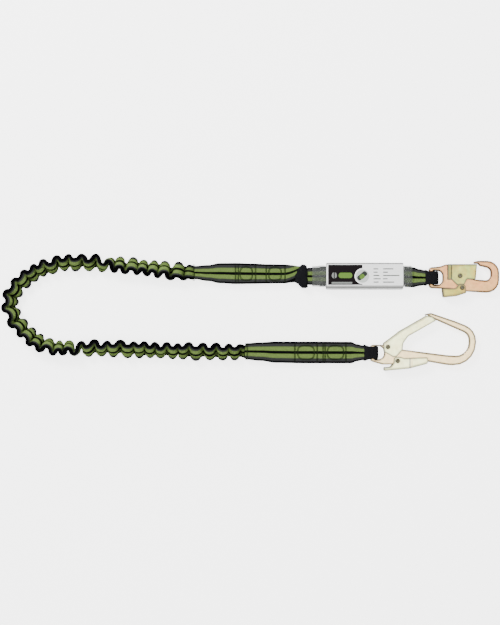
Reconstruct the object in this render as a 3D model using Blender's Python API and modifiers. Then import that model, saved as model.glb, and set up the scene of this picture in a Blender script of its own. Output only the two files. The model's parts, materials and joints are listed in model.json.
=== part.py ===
"""Shock absorbing lanyard: ruffled elastic webbing, energy absorber pack, snap hook and scaffold hook.

The lanyard lies flat on the floor plane z = 0 in a long U.  +X points to the two hooks, +Z up.
The origin is under the middle of everything but the elastic webbing.

Lengths below are in millimetres and are turned into metres where meshes and objects are made.
Each hook has its own frame: its origin is the middle of its eye bar, +X towards the bow.
"""

import math

import bmesh
import bpy
from mathutils import Vector

MM = 0.001
GAP = 0.3
ARC_STEP = math.radians(18)
WELD_DISTANCE = 0.02 * MM
FLAT_ANGLE = 0.001
EMPTY_SIZE = 20.0

# Webbing: 42 mm wide polyester tube, 2.6 mm thick when it is flat.
WEB_HALF_WIDTH = 20.5
WEB_THICKNESS = 2.6
LEG_GAP = 0.4
LEG_LIFT = (WEB_THICKNESS + LEG_GAP) / 2
SLEEVE_WALL = 0.8
FOLD_STEPS = 8
LEG_STEP = 25.0

# Ruffled elastic stretch: envelope of the ruffles, and the elastic strand inside.
RUFFLE_RADIUS = 18.0
RUFFLE_WALL = 2.0
CORE_RADIUS = 4.0
CORE_SHORT_BY = 6.0
CORE_RESOLUTION = 2
ROUTE_STEP = 22.0
SPLINE_STEPS = 20
RUFFLE_RESOLUTION = 3
RUFFLE_SIDES = 4 + 2 * RUFFLE_RESOLUTION
ELASTIC_ROUTE = [
    (-312.9, 87.0),
    (-366.5, 92.5),
    (-426.5, 99.5),
    (-486.5, 104.5),
    (-546.5, 106.5),
    (-586.5, 99.5),
    (-616.5, 86.5),
    (-642.5, 67.5),
    (-660.5, 45.5),
    (-666.5, 23.0),
    (-660.5, -0.5),
    (-642.5, -24.5),
    (-616.5, -48.5),
    (-586.5, -61.5),
    (-546.5, -65.5),
    (-486.5, -65.0),
    (-386.5, -68.5),
    (-286.5, -71.5),
    (-196.9, -72.3),
]

# Energy absorber pack.
PACK_Y = 79.0
PACK_Z = 13.0
SLEEVE_X = (-55.5, 131.5)
SLEEVE_HALF = (22.0, 11.4)
SLEEVE_FILM = 0.8
SLEEVE_CORNER = 5.0
WRAP_X = (-34.0, 119.5)
WRAP_HALF = (26.0, 13.0)
WRAP_WALL = 1.0
WRAP_CORNER = 6.0
CARD_X = (-29.5, 116.5)
CARD_HALF_WIDTH = 19.8
CARD_THICKNESS = 0.7
CARD_CORNER = 1.5
TEAR_X = (-46.0, 122.0)
TEAR_HALF_WIDTH = 19.0
TEAR_LAYERS = 5
TEAR_PITCH = 4.0
TEAR_THICKNESS = 2.8
TEAR_TURN_STEPS = 4

# Choked link between the elastic strand and the absorber.
LINK_X = (-94.5, -70.5)
LINK_HALF = (22.6, 11.6)
LINK_WALL = 2.4
LINK_CORNER = 5.0
LINK_FOLD_X = -83.0
LINK_FOLD_RADIUS = 4.2

# Flat webbing, as stations (x, middle y, half width, height of a leg over the middle of its loop).
UPPER_END_STATIONS = [
    (-312.5, 87.0, 12.6, LEG_LIFT),
    (-284.0, 85.4, 15.0, LEG_LIFT),
    (-252.0, 85.0, 19.4, LEG_LIFT),
    (-210.0, 84.0, WEB_HALF_WIDTH, LEG_LIFT),
    (-150.0, 84.0, 19.0, LEG_LIFT),
    (-112.0, 83.4, 17.6, LEG_LIFT),
    (LINK_FOLD_X - LINK_FOLD_RADIUS - WEB_THICKNESS, 80.0, 14.0, LINK_FOLD_RADIUS),
]
LINK_LOOP_STATIONS = [
    (58.0, PACK_Y, 17.5, LEG_LIFT),
    (64.0, PACK_Y, 17.5, LEG_LIFT),
    (78.0, PACK_Y, 14.0, LINK_FOLD_RADIUS),
]

# The same for the two loops that carry a hook, with x from the eye bar.
LOWER_END_STATIONS = [
    (-255.4, -71.6, 16.0, LEG_LIFT),
    (-224.0, -73.0, 17.6, LEG_LIFT),
    (-194.0, -73.8, WEB_HALF_WIDTH, LEG_LIFT),
    (-42.0, -73.8, WEB_HALF_WIDTH, LEG_LIFT),
    (-27.0, -73.9, 15.4, 5.0),
    (-17.0, -74.0, 14.0, 8.0),
    (-6.0, -74.1, 11.3, 10.0),
]
LOWER_SLEEVE_FROM = -18.5
HOOK_LOOP_STATIONS = [
    (-44.0, 77.4, WEB_HALF_WIDTH, LEG_LIFT),
    (-40.0, 77.2, WEB_HALF_WIDTH, LEG_LIFT),
    (-22.0, 76.2, 16.4, 5.6),
    (-12.0, 76.0, 14.6, 8.4),
    (-5.0, 75.9, 12.0, 10.0),
]
HOOK_SLEEVE_FROM = -8.6

# Hook frames: where the eye bars are, and how thick the forgings are.
SNAP_EYE = (176.1, 75.9, 11.8)
SCAFFOLD_EYE = (58.9, -74.1, 11.8)
FORGING_THICKNESS = 10.0
FORGING_CHAMFER = 0.8
SHEET = 2.0
CHEEK_GAP = 0.4
RIVET_RADIUS = 2.5
RIVET_HEAD_RADIUS = 4.4
RIVET_HEAD_HEIGHT = 1.7
RIVET_DOME_STEPS = 3
RIVET_SIDES = 12
HOLE_SIDES = 12
POCKET_SIDES = 20
LEVER_SHEET = 1.8
EYE_FOLD_RADIUS = 6.7
SPRING_POCKET_DEPTH = 4.6
SPRING_TURNS = 3
SPRING_STEPS_PER_TURN = 12
SPRING_RESOLUTION = 1
GATE_SPRING = (4.5, 0.45)
LOCK_SPRING = (3.6, 0.4)

# Snap hook, in its own frame.
SNAP_PIVOT = (57.4, 4.0)
SNAP_LOCK_PIVOT = (61.4, -19.8)
SNAP_FOLD_END = 14.2

# Scaffold hook, in its own frame.
SCAFFOLD_PIVOT = (30.4, 11.8)
SCAFFOLD_LOCK_PIVOT = (49.6, -16.0)
SCAFFOLD_FOLD_END = 11.8

SNAP_BODY = [
    (-5.0, 20.8, 7.0),
    (19.0, 23.0, 14.0),
    (28.4, 26.8, 5.0),
    (38.4, 26.8, 1.2),
    (38.6, 23.4, 1.2),
    (73.4, 23.4, 14.0),
    (73.4, 0.4, 2.5),
    (89.4, -3.2, 10.0),
    (118.9, -5.6, 9.5),
    (118.9, 18.4, 10.0),
    (96.6, 23.8, 2.0),
    (93.2, 28.2, 0.8),
    (85.4, 28.2, 1.2),
    (85.4, 32.0, 1.5),
    (93.4, 34.2, 6.0),
    (136.6, 34.2, 24.0),
    (136.6, -31.2, 25.0),
    (97.4, -29.2, 30.0),
    (66.5, -27.0, 5.0),
    (37.4, -22.8, 20.0),
    (21.4, -21.8, 10.0),
    (-5.0, -20.8, 7.0),
]
SNAP_EYE_OPENING = [(5.0, 13.8, 1.2), (23.0, 13.8, 10.0), (23.0, -13.8, 10.0), (5.0, -13.8, 1.2)]
SNAP_GATE = [
    (32.2, 27.4, 1.0),
    (91.4, 27.4, 1.0),
    (88.8, -3.4, 3.0),
    (71.0, -2.4, 4.0),
    (66.5, -13.6, 4.0),
    (51.5, -14.6, 4.0),
    (40.6, -3.8, 2.0),
    (32.2, -3.8, 1.5),
]
SNAP_GATE_INSIDE = [(20.0, -30.0), (110.0, -30.0), (110.0, 25.4), (39.0, 25.4), (39.0, 45.0), (20.0, 45.0)]
SNAP_LEVER = [
    (22.0, -21.4, 1.5),
    (48.0, -21.4, 5.0),
    (54.5, -13.6, 4.0),
    (68.0, -13.6, 5.0),
    (69.6, -30.4, 2.0),
    (49.4, -37.0, 12.0),
    (24.0, -39.4, 2.0),
]
SNAP_LEVER_INSIDE = [
    (5.0, 10.0),
    (90.0, 10.0),
    (90.0, -21.5),
    (69.0, -28.4),
    (49.2, -34.9),
    (24.5, -37.3),
    (5.0, -39.1),
]

SCAFFOLD_BODY = [
    (-5.0, 16.2, 6.0),
    (21.5, 15.8, 3.0),
    (27.5, 20.4, 4.0),
    (44.0, 20.4, 12.0),
    (58.0, 6.6, 9.0),
    (150.0, -4.9, 60.0),
    (192.4, -7.4, 25.0),
    (192.4, 36.8, 17.0),
    (127.6, 65.2, 30.0),
    (116.5, 69.8, 1.5),
    (108.9, 75.8, 0.6),
    (104.6, 73.7, 1.0),
    (104.6, 77.2, 1.4),
    (117.2, 79.8, 4.0),
    (166.0, 63.2, 60.0),
    (207.6, 46.6, 34.0),
    (207.6, -27.2, 45.0),
    (150.0, -24.8, 60.0),
    (113.0, -18.4, 20.0),
    (72.0, -17.8, 6.0),
    (60.0, -23.2, 4.0),
    (19.0, -23.6, 4.0),
    (5.0, -19.8, 8.0),
    (-5.0, -16.2, 5.0),
]
SCAFFOLD_EYE_OPENING = [(5.0, 13.0, 1.2), (23.0, 13.0, 11.0), (23.0, -13.0, 11.0), (5.0, -13.0, 1.2)]
SCAFFOLD_GATE = [
    (21.2, 19.0, 2.0),
    (48.0, 39.0, 3.0),
    (51.4, 42.2, 2.0),
    (107.4, 74.3, 1.0),
    (119.0, 72.6, 3.0),
    (127.2, 65.0, 2.0),
    (86.2, 41.4, 20.0),
    (71.0, 33.2, 10.0),
    (61.0, 19.0, 8.0),
    (59.6, 5.6, 5.0),
    (48.0, -7.5, 3.0),
    (41.0, -8.5, 3.0),
    (22.6, 2.0, 4.0),
]
SCAFFOLD_GATE_INSIDE = [
    (5.0, 4.4),
    (49.2, 37.4),
    (52.9, 40.8),
    (140.0, 90.7),
    (140.0, -40.0),
    (5.0, -40.0),
]
SCAFFOLD_LEVER = [
    (22.6, -36.0, 1.5),
    (72.6, -31.6, 30.0),
    (109.0, -21.8, 2.0),
    (110.6, -16.4, 2.0),
    (109.6, -9.0, 2.0),
    (62.6, -10.8, 5.0),
    (56.6, -8.2, 4.0),
    (42.6, -8.2, 5.0),
    (42.0, -20.0, 6.0),
    (35.0, -28.6, 6.0),
    (22.6, -29.2, 1.5),
]
SCAFFOLD_LEVER_INSIDE = [
    (5.0, 20.0),
    (125.0, 20.0),
    (125.0, -15.3),
    (108.4, -19.8),
    (72.4, -29.6),
    (22.6, -34.0),
    (5.0, -35.6),
]

GREEN = (0.235, 0.330, 0.085)
BLACK = (0.012, 0.012, 0.013)
COPPER_ZINC = (0.72, 0.50, 0.36)
YELLOW_ZINC = (0.70, 0.66, 0.36)
CREAM_ZINC = (0.80, 0.76, 0.60)
STEEL = (0.55, 0.55, 0.55)
RUBBER = (0.05, 0.05, 0.045)
FILM = (0.45, 0.46, 0.44)
WRAP = (0.75, 0.75, 0.74)
CARD = (0.85, 0.85, 0.85)


# ---------------------------------------------------------------- scene, materials, placing


def clear_scene():
    for old in list(bpy.data.objects):
        bpy.data.objects.remove(old, do_unlink=True)


def new_collection(name):
    group = bpy.data.collections.new(name)
    bpy.context.scene.collection.children.link(group)
    return group


def material(name, colour, roughness, metallic=0.0, alpha=1.0):
    made = bpy.data.materials.new(name)
    made.use_nodes = True
    shader = made.node_tree.nodes["Principled BSDF"]
    shader.inputs["Base Color"].default_value = (*colour, 1.0)
    shader.inputs["Roughness"].default_value = roughness
    shader.inputs["Metallic"].default_value = metallic
    shader.inputs["Alpha"].default_value = alpha
    return made


def add_object(name, mesh, group, finish=None):
    made = bpy.data.objects.new(name, mesh)
    group.objects.link(made)
    if finish:
        mesh.materials.clear()
        mesh.materials.append(finish)
    return made


def frame_empty(name, centre, group):
    empty = bpy.data.objects.new(name, None)
    empty.empty_display_size = EMPTY_SIZE * MM
    empty.location = Vector(centre) * MM
    group.objects.link(empty)
    return empty


def place(piece, parent, origin=(0.0, 0.0)):
    piece.parent = parent
    piece.location = Vector((origin[0], origin[1], 0.0)) * MM
    return piece


# ---------------------------------------------------------------- outlines, plates and cuts


def rounded(corners):
    """Outline through corners (x, y, radius), with an arc of that radius at each corner."""
    points = []
    for index, (x, y, radius) in enumerate(corners):
        corner = Vector((x, y))
        back = (Vector(corners[index - 1][:2]) - corner).normalized()
        ahead = (Vector(corners[(index + 1) % len(corners)][:2]) - corner).normalized()
        turn = math.pi - back.angle(ahead)
        centre = corner + (back + ahead).normalized() * (radius / math.cos(turn / 2))
        start = corner + back * (radius * math.tan(turn / 2)) - centre
        side = 1.0 if ahead.cross(back) > 0 else -1.0
        steps = max(1, round(turn / ARC_STEP))
        for step in range(steps + 1):
            angle = math.atan2(start.y, start.x) + side * turn * step / steps
            points.append((centre.x + radius * math.cos(angle), centre.y + radius * math.sin(angle)))
    return points


def wound(outline, anticlockwise):
    """The outline in the wanted sense; a hole runs the other way round from the edge it is in."""
    area = sum(a[0] * b[1] - b[0] * a[1] for a, b in zip(outline, outline[1:] + outline[:1]))
    return outline if (area > 0) == anticlockwise else outline[::-1]


def circle(centre, radius, sides):
    return [
        (centre[0] + radius * math.cos(math.tau * i / sides), centre[1] + radius * math.sin(math.tau * i / sides))
        for i in range(sides)
    ]


def plate(name, outlines, low, high, group, origin=(0.0, 0.0), finish=None, chamfer=0.0):
    """Flat plate from z = low to high: the first outline, less the others, seen from its origin."""
    curve = bpy.data.curves.new(name, "CURVE")
    curve.dimensions = "2D"
    curve.fill_mode = "BOTH"
    curve.extrude = ((high - low) / 2 - chamfer) * MM
    curve.bevel_depth = chamfer * MM
    curve.bevel_resolution = 0
    curve.offset = -chamfer * MM
    for index, outline in enumerate(outlines):
        spline = curve.splines.new("POLY")
        spline.points.add(len(outline) - 1)
        spline.use_cyclic_u = True
        for point, (x, y) in zip(spline.points, wound(outline, anticlockwise=index > 0)):
            point.co = ((x - origin[0]) * MM, (y - origin[1]) * MM, 0.0, 1.0)
    mesh = mesh_of_curve(curve, name)
    shift = (low + high) / 2 * MM
    for vertex in mesh.vertices:
        vertex.co.z += shift
    return add_object(name, mesh, group, finish)


def mesh_of_curve(curve, name):
    """Closed mesh of a curve, its caps welded and its flat faces joined."""
    carrier = bpy.data.objects.new(name + "_curve", curve)
    bpy.context.scene.collection.objects.link(carrier)
    depsgraph = bpy.context.evaluated_depsgraph_get()
    mesh = bpy.data.meshes.new_from_object(carrier.evaluated_get(depsgraph))
    bpy.data.objects.remove(carrier, do_unlink=True)
    tidy = bmesh.new()
    tidy.from_mesh(mesh)
    bmesh.ops.remove_doubles(tidy, verts=tidy.verts, dist=WELD_DISTANCE)
    bmesh.ops.dissolve_limit(tidy, angle_limit=FLAT_ANGLE, verts=tidy.verts, edges=tidy.edges)
    bmesh.ops.recalc_face_normals(tidy, faces=tidy.faces)
    tidy.to_mesh(mesh)
    tidy.free()
    mesh.name = name
    return mesh


def cut(target, cutter):
    boolean = target.modifiers.new(cutter.name, "BOOLEAN")
    boolean.operation = "DIFFERENCE"
    boolean.solver = "EXACT"
    boolean.object = cutter
    cutter.hide_render = True
    cutter.display_type = "WIRE"


def smooth(piece, degrees=40):
    piece.data.shade_smooth()
    piece.data.set_sharp_from_angle(angle=math.radians(degrees))


# ---------------------------------------------------------------- lofts along a path


def loft(name, sections, closed_section, group, finish):
    """Quads between neighbouring sections; each section is a list of points in millimetres."""
    surface = bmesh.new()
    rings = [[surface.verts.new(Vector(p) * MM) for p in section] for section in sections]
    count = len(rings[0])
    spans = range(count if closed_section else count - 1)
    for ring, following in zip(rings, rings[1:]):
        for i in spans:
            j = (i + 1) % count
            surface.faces.new((ring[i], ring[j], following[j], following[i]))
    bmesh.ops.recalc_face_normals(surface, faces=surface.faces)
    mesh = bpy.data.meshes.new(name)
    surface.to_mesh(mesh)
    surface.free()
    return add_object(name, mesh, group, finish)


def thicken(piece, thickness, offset):
    wall = piece.modifiers.new("wall", "SOLIDIFY")
    wall.thickness = thickness * MM
    wall.offset = offset
    wall.use_even_offset = True


def face_away_from(piece, centre):
    """Turn a tube's faces so that they point away from its middle line."""
    face = piece.data.polygons[0]
    if (face.center - Vector(centre) * MM).dot(face.normal) < 0:
        piece.data.flip_normals()


def ease(share):
    return 0.5 - 0.5 * math.cos(math.pi * share)


def eased_stations(stations):
    """Stations with more put between them, at most LEG_STEP apart, eased from one to the next."""
    filled = [stations[0]]
    for left, right in zip(stations, stations[1:]):
        steps = max(2, math.ceil((right[0] - left[0]) / LEG_STEP))
        for step in range(1, steps + 1):
            share = step / steps
            x = left[0] + (right[0] - left[0]) * share
            rest = (a + (b - a) * ease(share) for a, b in zip(left[1:], right[1:]))
            filled.append((x, *rest))
    return filled


def hairpin(stations, fold_radius, centre_z):
    """Path of a folded-back strip: out along its upper leg, round the fold, back along the lower.

    Stations are (x, middle y, half width, leg height); the fold's centre is at the last one.
    Gives (x, y, z, half width) at each step.
    """
    upper = eased_stations(stations)
    path = [(x, y, centre_z + lift, half) for x, y, half, lift in upper]
    fold_x, fold_y, fold_half, _ = upper[-1]
    for step in range(1, FOLD_STEPS):
        angle = math.pi / 2 - math.pi * step / FOLD_STEPS
        x = fold_x + fold_radius * math.cos(angle)
        path.append((x, fold_y, centre_z + fold_radius * math.sin(angle), fold_half))
    path += [(x, y, centre_z - lift, half) for x, y, half, lift in reversed(upper)]
    return path


def section_frames(path):
    """Each point of a path in the XZ plane, with the unit normal across its thickness."""
    frames = []
    for index, (x, y, z, half) in enumerate(path):
        before = path[max(0, index - 1)]
        after = path[min(len(path) - 1, index + 1)]
        along = Vector((after[0] - before[0], 0.0, after[2] - before[2])).normalized()
        frames.append((Vector((x, y, z)), Vector((-along.z, 0.0, along.x)), half))
    return frames


def ribbon(name, path, thickness, group, finish):
    """Strip of webbing along a path, as wide as the path says."""
    sections = [
        [point + Vector((0.0, -half, 0.0)), point + Vector((0.0, half, 0.0))]
        for point, _, half in section_frames(path)
    ]
    piece = loft(name, sections, False, group, finish)
    thicken(piece, thickness, 0.0)
    return piece


def sheath(name, path, half_thickness, wall, group, finish):
    """Flat tube that covers a strip, open at both ends."""
    sections = []
    for point, normal, half in section_frames(path):
        side = Vector((0.0, half, 0.0))
        lift = normal * half_thickness
        sections.append([point - side - lift, point + side - lift, point + side + lift, point - side + lift])
    piece = loft(name, sections, True, group, finish)
    first = path[0]
    face_away_from(piece, first[:3])
    thicken(piece, wall, -1.0)
    return piece


def box_tube(name, x_range, half, corner, wall, group, finish):
    """Flat tube along X, round the middle line of the pack, with a rounded rectangular section."""
    outline = rounded([
        (PACK_Y - half[0], PACK_Z - half[1], corner),
        (PACK_Y + half[0], PACK_Z - half[1], corner),
        (PACK_Y + half[0], PACK_Z + half[1], corner),
        (PACK_Y - half[0], PACK_Z + half[1], corner),
    ])
    sections = [[(x, across, up) for across, up in outline] for x in x_range]
    piece = loft(name, sections, True, group, finish)
    face_away_from(piece, (x_range[0], PACK_Y, PACK_Z))
    thicken(piece, wall, -1.0)
    return piece


# ---------------------------------------------------------------- elastic strand


def smooth_route(points, step):
    """Evenly spaced points on a smooth curve through hand-chosen points."""
    padded = [points[0], *points, points[-1]]
    dense = []
    for p0, p1, p2, p3 in zip(padded, padded[1:], padded[2:], padded[3:]):
        a, b, c, d = (Vector(p) for p in (p0, p1, p2, p3))
        for i in range(SPLINE_STEPS):
            t = i / SPLINE_STEPS
            dense.append(
                0.5 * (2 * b + (c - a) * t + (2 * a - 5 * b + 4 * c - d) * t**2 + (3 * b - a - 3 * c + d) * t**3)
            )
    dense.append(Vector(points[-1]))
    total = sum((q - p).length for p, q in zip(dense, dense[1:]))
    count = round(total / step)
    route = [dense[0]]
    walked = 0.0
    for p, q in zip(dense, dense[1:]):
        span = (q - p).length
        while len(route) < count and walked + span >= total / count * len(route):
            route.append(p.lerp(q, (total / count * len(route) - walked) / span))
        walked += span
    route.append(dense[-1])
    return route


def tube(name, points, radius, resolution, capped, group, finish):
    curve = bpy.data.curves.new(name, "CURVE")
    curve.dimensions = "3D"
    curve.bevel_depth = radius * MM
    curve.bevel_resolution = resolution
    curve.use_fill_caps = capped
    spline = curve.splines.new("POLY")
    spline.points.add(len(points) - 1)
    for point, place_at in zip(spline.points, points):
        point.co = (*(Vector(place_at) * MM), 1.0)
    piece = add_object(name, mesh_of_curve(curve, name), group, finish)
    smooth(piece)
    return piece


def elastic_strand(group, webbing, rubber):
    resting = RUFFLE_RADIUS * math.cos(math.pi / RUFFLE_SIDES)
    route = [(p.x, p.y, resting) for p in smooth_route(ELASTIC_ROUTE, ROUTE_STEP)]
    ruffles = tube("elastic_webbing", route, RUFFLE_RADIUS, RUFFLE_RESOLUTION, False, group, webbing)
    face_away_from(ruffles, route[0])
    thicken(ruffles, RUFFLE_WALL, -1.0)
    first, last = Vector(route[0]), Vector(route[-1])
    inner = [first.lerp(Vector(route[1]), CORE_SHORT_BY / ROUTE_STEP), *route[1:-1]]
    inner.append(last.lerp(Vector(route[-2]), CORE_SHORT_BY / ROUTE_STEP))
    tube("elastic_core", inner, CORE_RADIUS, CORE_RESOLUTION, True, group, rubber)


# ---------------------------------------------------------------- webbing ends, link and absorber


def upper_end(group, webbing):
    """Sewn end of the elastic strand that is choked to the absorber."""
    path = hairpin(UPPER_END_STATIONS, LINK_FOLD_RADIUS, PACK_Z)
    ribbon("upper_end_webbing", path, WEB_THICKNESS, group, webbing)


def link(group, webbing, black):
    """Absorber's near loop, and the wear sleeve of the choked joint round both loops."""
    facing_right = hairpin(LINK_LOOP_STATIONS, LINK_FOLD_RADIUS, PACK_Z)
    path = [(-x, y, z, half) for x, y, z, half in facing_right]
    ribbon("absorber_link_loop", path, WEB_THICKNESS, group, webbing)
    box_tube("link_wear_sleeve", LINK_X, LINK_HALF, LINK_CORNER, LINK_WALL, group, black)


def tear_webbing(group, webbing):
    """Tear webbing that is packed in flat folds, the layers that rip apart to stop a fall."""
    half_turn = TEAR_PITCH / 2
    left, right = TEAR_X[0] + half_turn, TEAR_X[1] - half_turn
    bottom = PACK_Z - TEAR_PITCH * (TEAR_LAYERS - 1) / 2
    path = []
    for layer in range(TEAR_LAYERS):
        z = bottom + TEAR_PITCH * layer
        start, end = (left, right) if layer % 2 == 0 else (right, left)
        path += [(start, PACK_Y, z, TEAR_HALF_WIDTH), (end, PACK_Y, z, TEAR_HALF_WIDTH)]
        if layer < TEAR_LAYERS - 1:
            outward = 1.0 if layer % 2 == 0 else -1.0
            for step in range(1, TEAR_TURN_STEPS):
                angle = math.pi * step / TEAR_TURN_STEPS
                x = end + outward * half_turn * math.sin(angle)
                path.append((x, PACK_Y, z + half_turn * (1 - math.cos(angle)), TEAR_HALF_WIDTH))
    ribbon("tear_webbing", path, TEAR_THICKNESS, group, webbing)


def absorber(group, film, wrap, card):
    """Clear sleeve round the tear webbing, the label's wrap round that, and the card on top."""
    box_tube("absorber_sleeve", SLEEVE_X, SLEEVE_HALF, SLEEVE_CORNER, SLEEVE_FILM, group, film)
    box_tube("label_wrap", WRAP_X, WRAP_HALF, WRAP_CORNER, WRAP_WALL, group, wrap)
    low = PACK_Z + WRAP_HALF[1] + GAP
    corners = [
        (CARD_X[0], PACK_Y - CARD_HALF_WIDTH, CARD_CORNER),
        (CARD_X[1], PACK_Y - CARD_HALF_WIDTH, CARD_CORNER),
        (CARD_X[1], PACK_Y + CARD_HALF_WIDTH, CARD_CORNER),
        (CARD_X[0], PACK_Y + CARD_HALF_WIDTH, CARD_CORNER),
    ]
    plate("label_card", [rounded(corners)], low, low + CARD_THICKNESS, group, finish=card)


def hook_loop(name, sleeve_name, stations, eye, fold_end, sleeve_from, group, webbing, black):
    """Webbing loop round an eye bar, and the black wear sleeve over its fold."""
    half_web = WEB_THICKNESS / 2
    over = GAP + SLEEVE_WALL
    fold_x = eye[0] + fold_end - EYE_FOLD_RADIUS - WEB_THICKNESS - 2 * over
    middle = EYE_FOLD_RADIUS + over + half_web
    placed = [(eye[0] + x, y, half, min(lift, middle)) for x, y, half, lift in stations]
    placed.append((fold_x, eye[1], stations[-1][2], middle))
    path = hairpin(placed, middle, eye[2])
    ribbon(name, path, WEB_THICKNESS, group, webbing)
    covered = [
        (x, y, z, half + over)
        for x, y, z, half in path
        if x >= eye[0] + sleeve_from
    ]
    sheath(sleeve_name, covered, half_web + over, SLEEVE_WALL, group, black)


def lower_end(group, webbing, black):
    """Sewn end of the elastic strand that carries the scaffold hook."""
    hook_loop(
        "lower_end_webbing", "lower_wear_sleeve", LOWER_END_STATIONS, SCAFFOLD_EYE, SCAFFOLD_FOLD_END,
        LOWER_SLEEVE_FROM, group, webbing, black,
    )


def absorber_hook_loop(group, webbing, black):
    """Absorber's far loop, which carries the snap hook."""
    hook_loop(
        "absorber_hook_loop", "hook_wear_sleeve", HOOK_LOOP_STATIONS, SNAP_EYE, SNAP_FOLD_END,
        HOOK_SLEEVE_FROM, group, webbing, black,
    )


# ---------------------------------------------------------------- hooks


def forging(name, outline, eye_opening, holes, parent, group, finish):
    outlines = [rounded(outline), rounded(eye_opening)]
    outlines += [circle(centre, RIVET_RADIUS + GAP, HOLE_SIDES) for centre in holes]
    half = FORGING_THICKNESS / 2
    body = plate(name, outlines, -half, half, group, finish=finish, chamfer=FORGING_CHAMFER)
    return place(body, parent)


def channel(name, outline, inside, pivot, inner, sheet, parent, group, cutters, finish):
    """Folded sheet part: two cheeks at z = +-inner joined along the edge that 'inside' leaves."""
    outer = inner + sheet
    hole = circle(pivot, RIVET_RADIUS + GAP, HOLE_SIDES)
    piece = plate(name, [rounded(outline), hole], -outer, outer, group, pivot, finish)
    hollow = plate(name + "_inside", [inside], -inner, inner, cutters, pivot)
    for item in (piece, hollow):
        place(item, parent, pivot)
    cut(piece, hollow)
    smooth(piece, 30)
    return piece


def rivet(name, pivot, grip, parent, group, finish):
    """Domed rivet whose heads sit just outside z = +-grip."""
    under = grip + GAP
    top = under + RIVET_HEAD_HEIGHT
    half = [(0.0, top)]
    for step in range(1, RIVET_DOME_STEPS + 1):
        angle = math.pi / 2 * step / RIVET_DOME_STEPS
        half.append((RIVET_HEAD_RADIUS * math.sin(angle), under + RIVET_HEAD_HEIGHT * math.cos(angle)))
    half.append((RIVET_RADIUS, under))
    profile = half + [(radius, -z) for radius, z in reversed(half)]
    lines = bmesh.new()
    made = [lines.verts.new((radius * MM, 0.0, z * MM)) for radius, z in profile]
    for first, second in zip(made, made[1:]):
        lines.edges.new((first, second))
    mesh = bpy.data.meshes.new(name)
    lines.to_mesh(mesh)
    lines.free()
    piece = add_object(name, mesh, group, finish)
    turn = piece.modifiers.new("turn", "SCREW")
    turn.steps = RIVET_SIDES
    turn.render_steps = RIVET_SIDES
    turn.use_merge_vertices = True
    turn.merge_threshold = WELD_DISTANCE
    turn.use_smooth_shade = True
    return place(piece, parent, pivot)


def pocket(body, pivot, radius, parent, cutters):
    """Round pocket for a torsion spring in the forging's lower face."""
    floor = -FORGING_THICKNESS / 2 + SPRING_POCKET_DEPTH
    hollow = plate(
        f"{body.name}_pocket_{len(body.modifiers)}", [circle(pivot, radius, POCKET_SIDES)],
        -FORGING_THICKNESS, floor, cutters, pivot,
    )
    place(hollow, parent, pivot)
    cut(body, hollow)


def torsion_spring(name, pivot, radius, wire, parent, group, finish):
    """Closely wound torsion spring in its pocket, around the rivet."""
    steps = SPRING_TURNS * SPRING_STEPS_PER_TURN
    rise = SPRING_POCKET_DEPTH - 2 * wire - 2 * GAP
    low = -FORGING_THICKNESS / 2 + GAP + wire
    points = []
    for i in range(steps + 1):
        angle = math.tau * i / SPRING_STEPS_PER_TURN
        height = low + rise * i / steps
        points.append((radius * math.cos(angle), radius * math.sin(angle), height))
    return place(tube(name, points, wire, SPRING_RESOLUTION, True, group, finish), parent, pivot)


def hook(prefix, eye, shapes, pivots, group, cutters, finishes):
    """Forged hook with a sprung gate and a sprung lock lever, each on its own rivet."""
    body_outline, opening, gate_outline, gate_inside, lever_outline, lever_inside = shapes
    gate_pivot, lock_pivot = pivots
    forged, pressed, wire = finishes
    parent = frame_empty(prefix + "_eye_axis", eye, group)
    body = forging(prefix + "_hook_body", body_outline, opening, pivots, parent, group, forged)
    gate_inner = FORGING_THICKNESS / 2 + CHEEK_GAP
    lever_inner = gate_inner + SHEET + CHEEK_GAP
    channel(
        prefix + "_gate", gate_outline, gate_inside, gate_pivot, gate_inner, SHEET,
        parent, group, cutters, pressed,
    )
    channel(
        prefix + "_lock_lever", lever_outline, lever_inside, lock_pivot, lever_inner, LEVER_SHEET,
        parent, group, cutters, pressed,
    )
    rivet(prefix + "_gate_rivet", gate_pivot, gate_inner + SHEET, parent, group, wire)
    rivet(prefix + "_lock_rivet", lock_pivot, lever_inner + LEVER_SHEET, parent, group, wire)
    for name, pivot, (radius, thin) in (
        ("_gate_spring", gate_pivot, GATE_SPRING),
        ("_lock_spring", lock_pivot, LOCK_SPRING),
    ):
        pocket(body, pivot, radius + thin + 2 * GAP, parent, cutters)
        torsion_spring(prefix + name, pivot, radius, thin, parent, group, wire)


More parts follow.
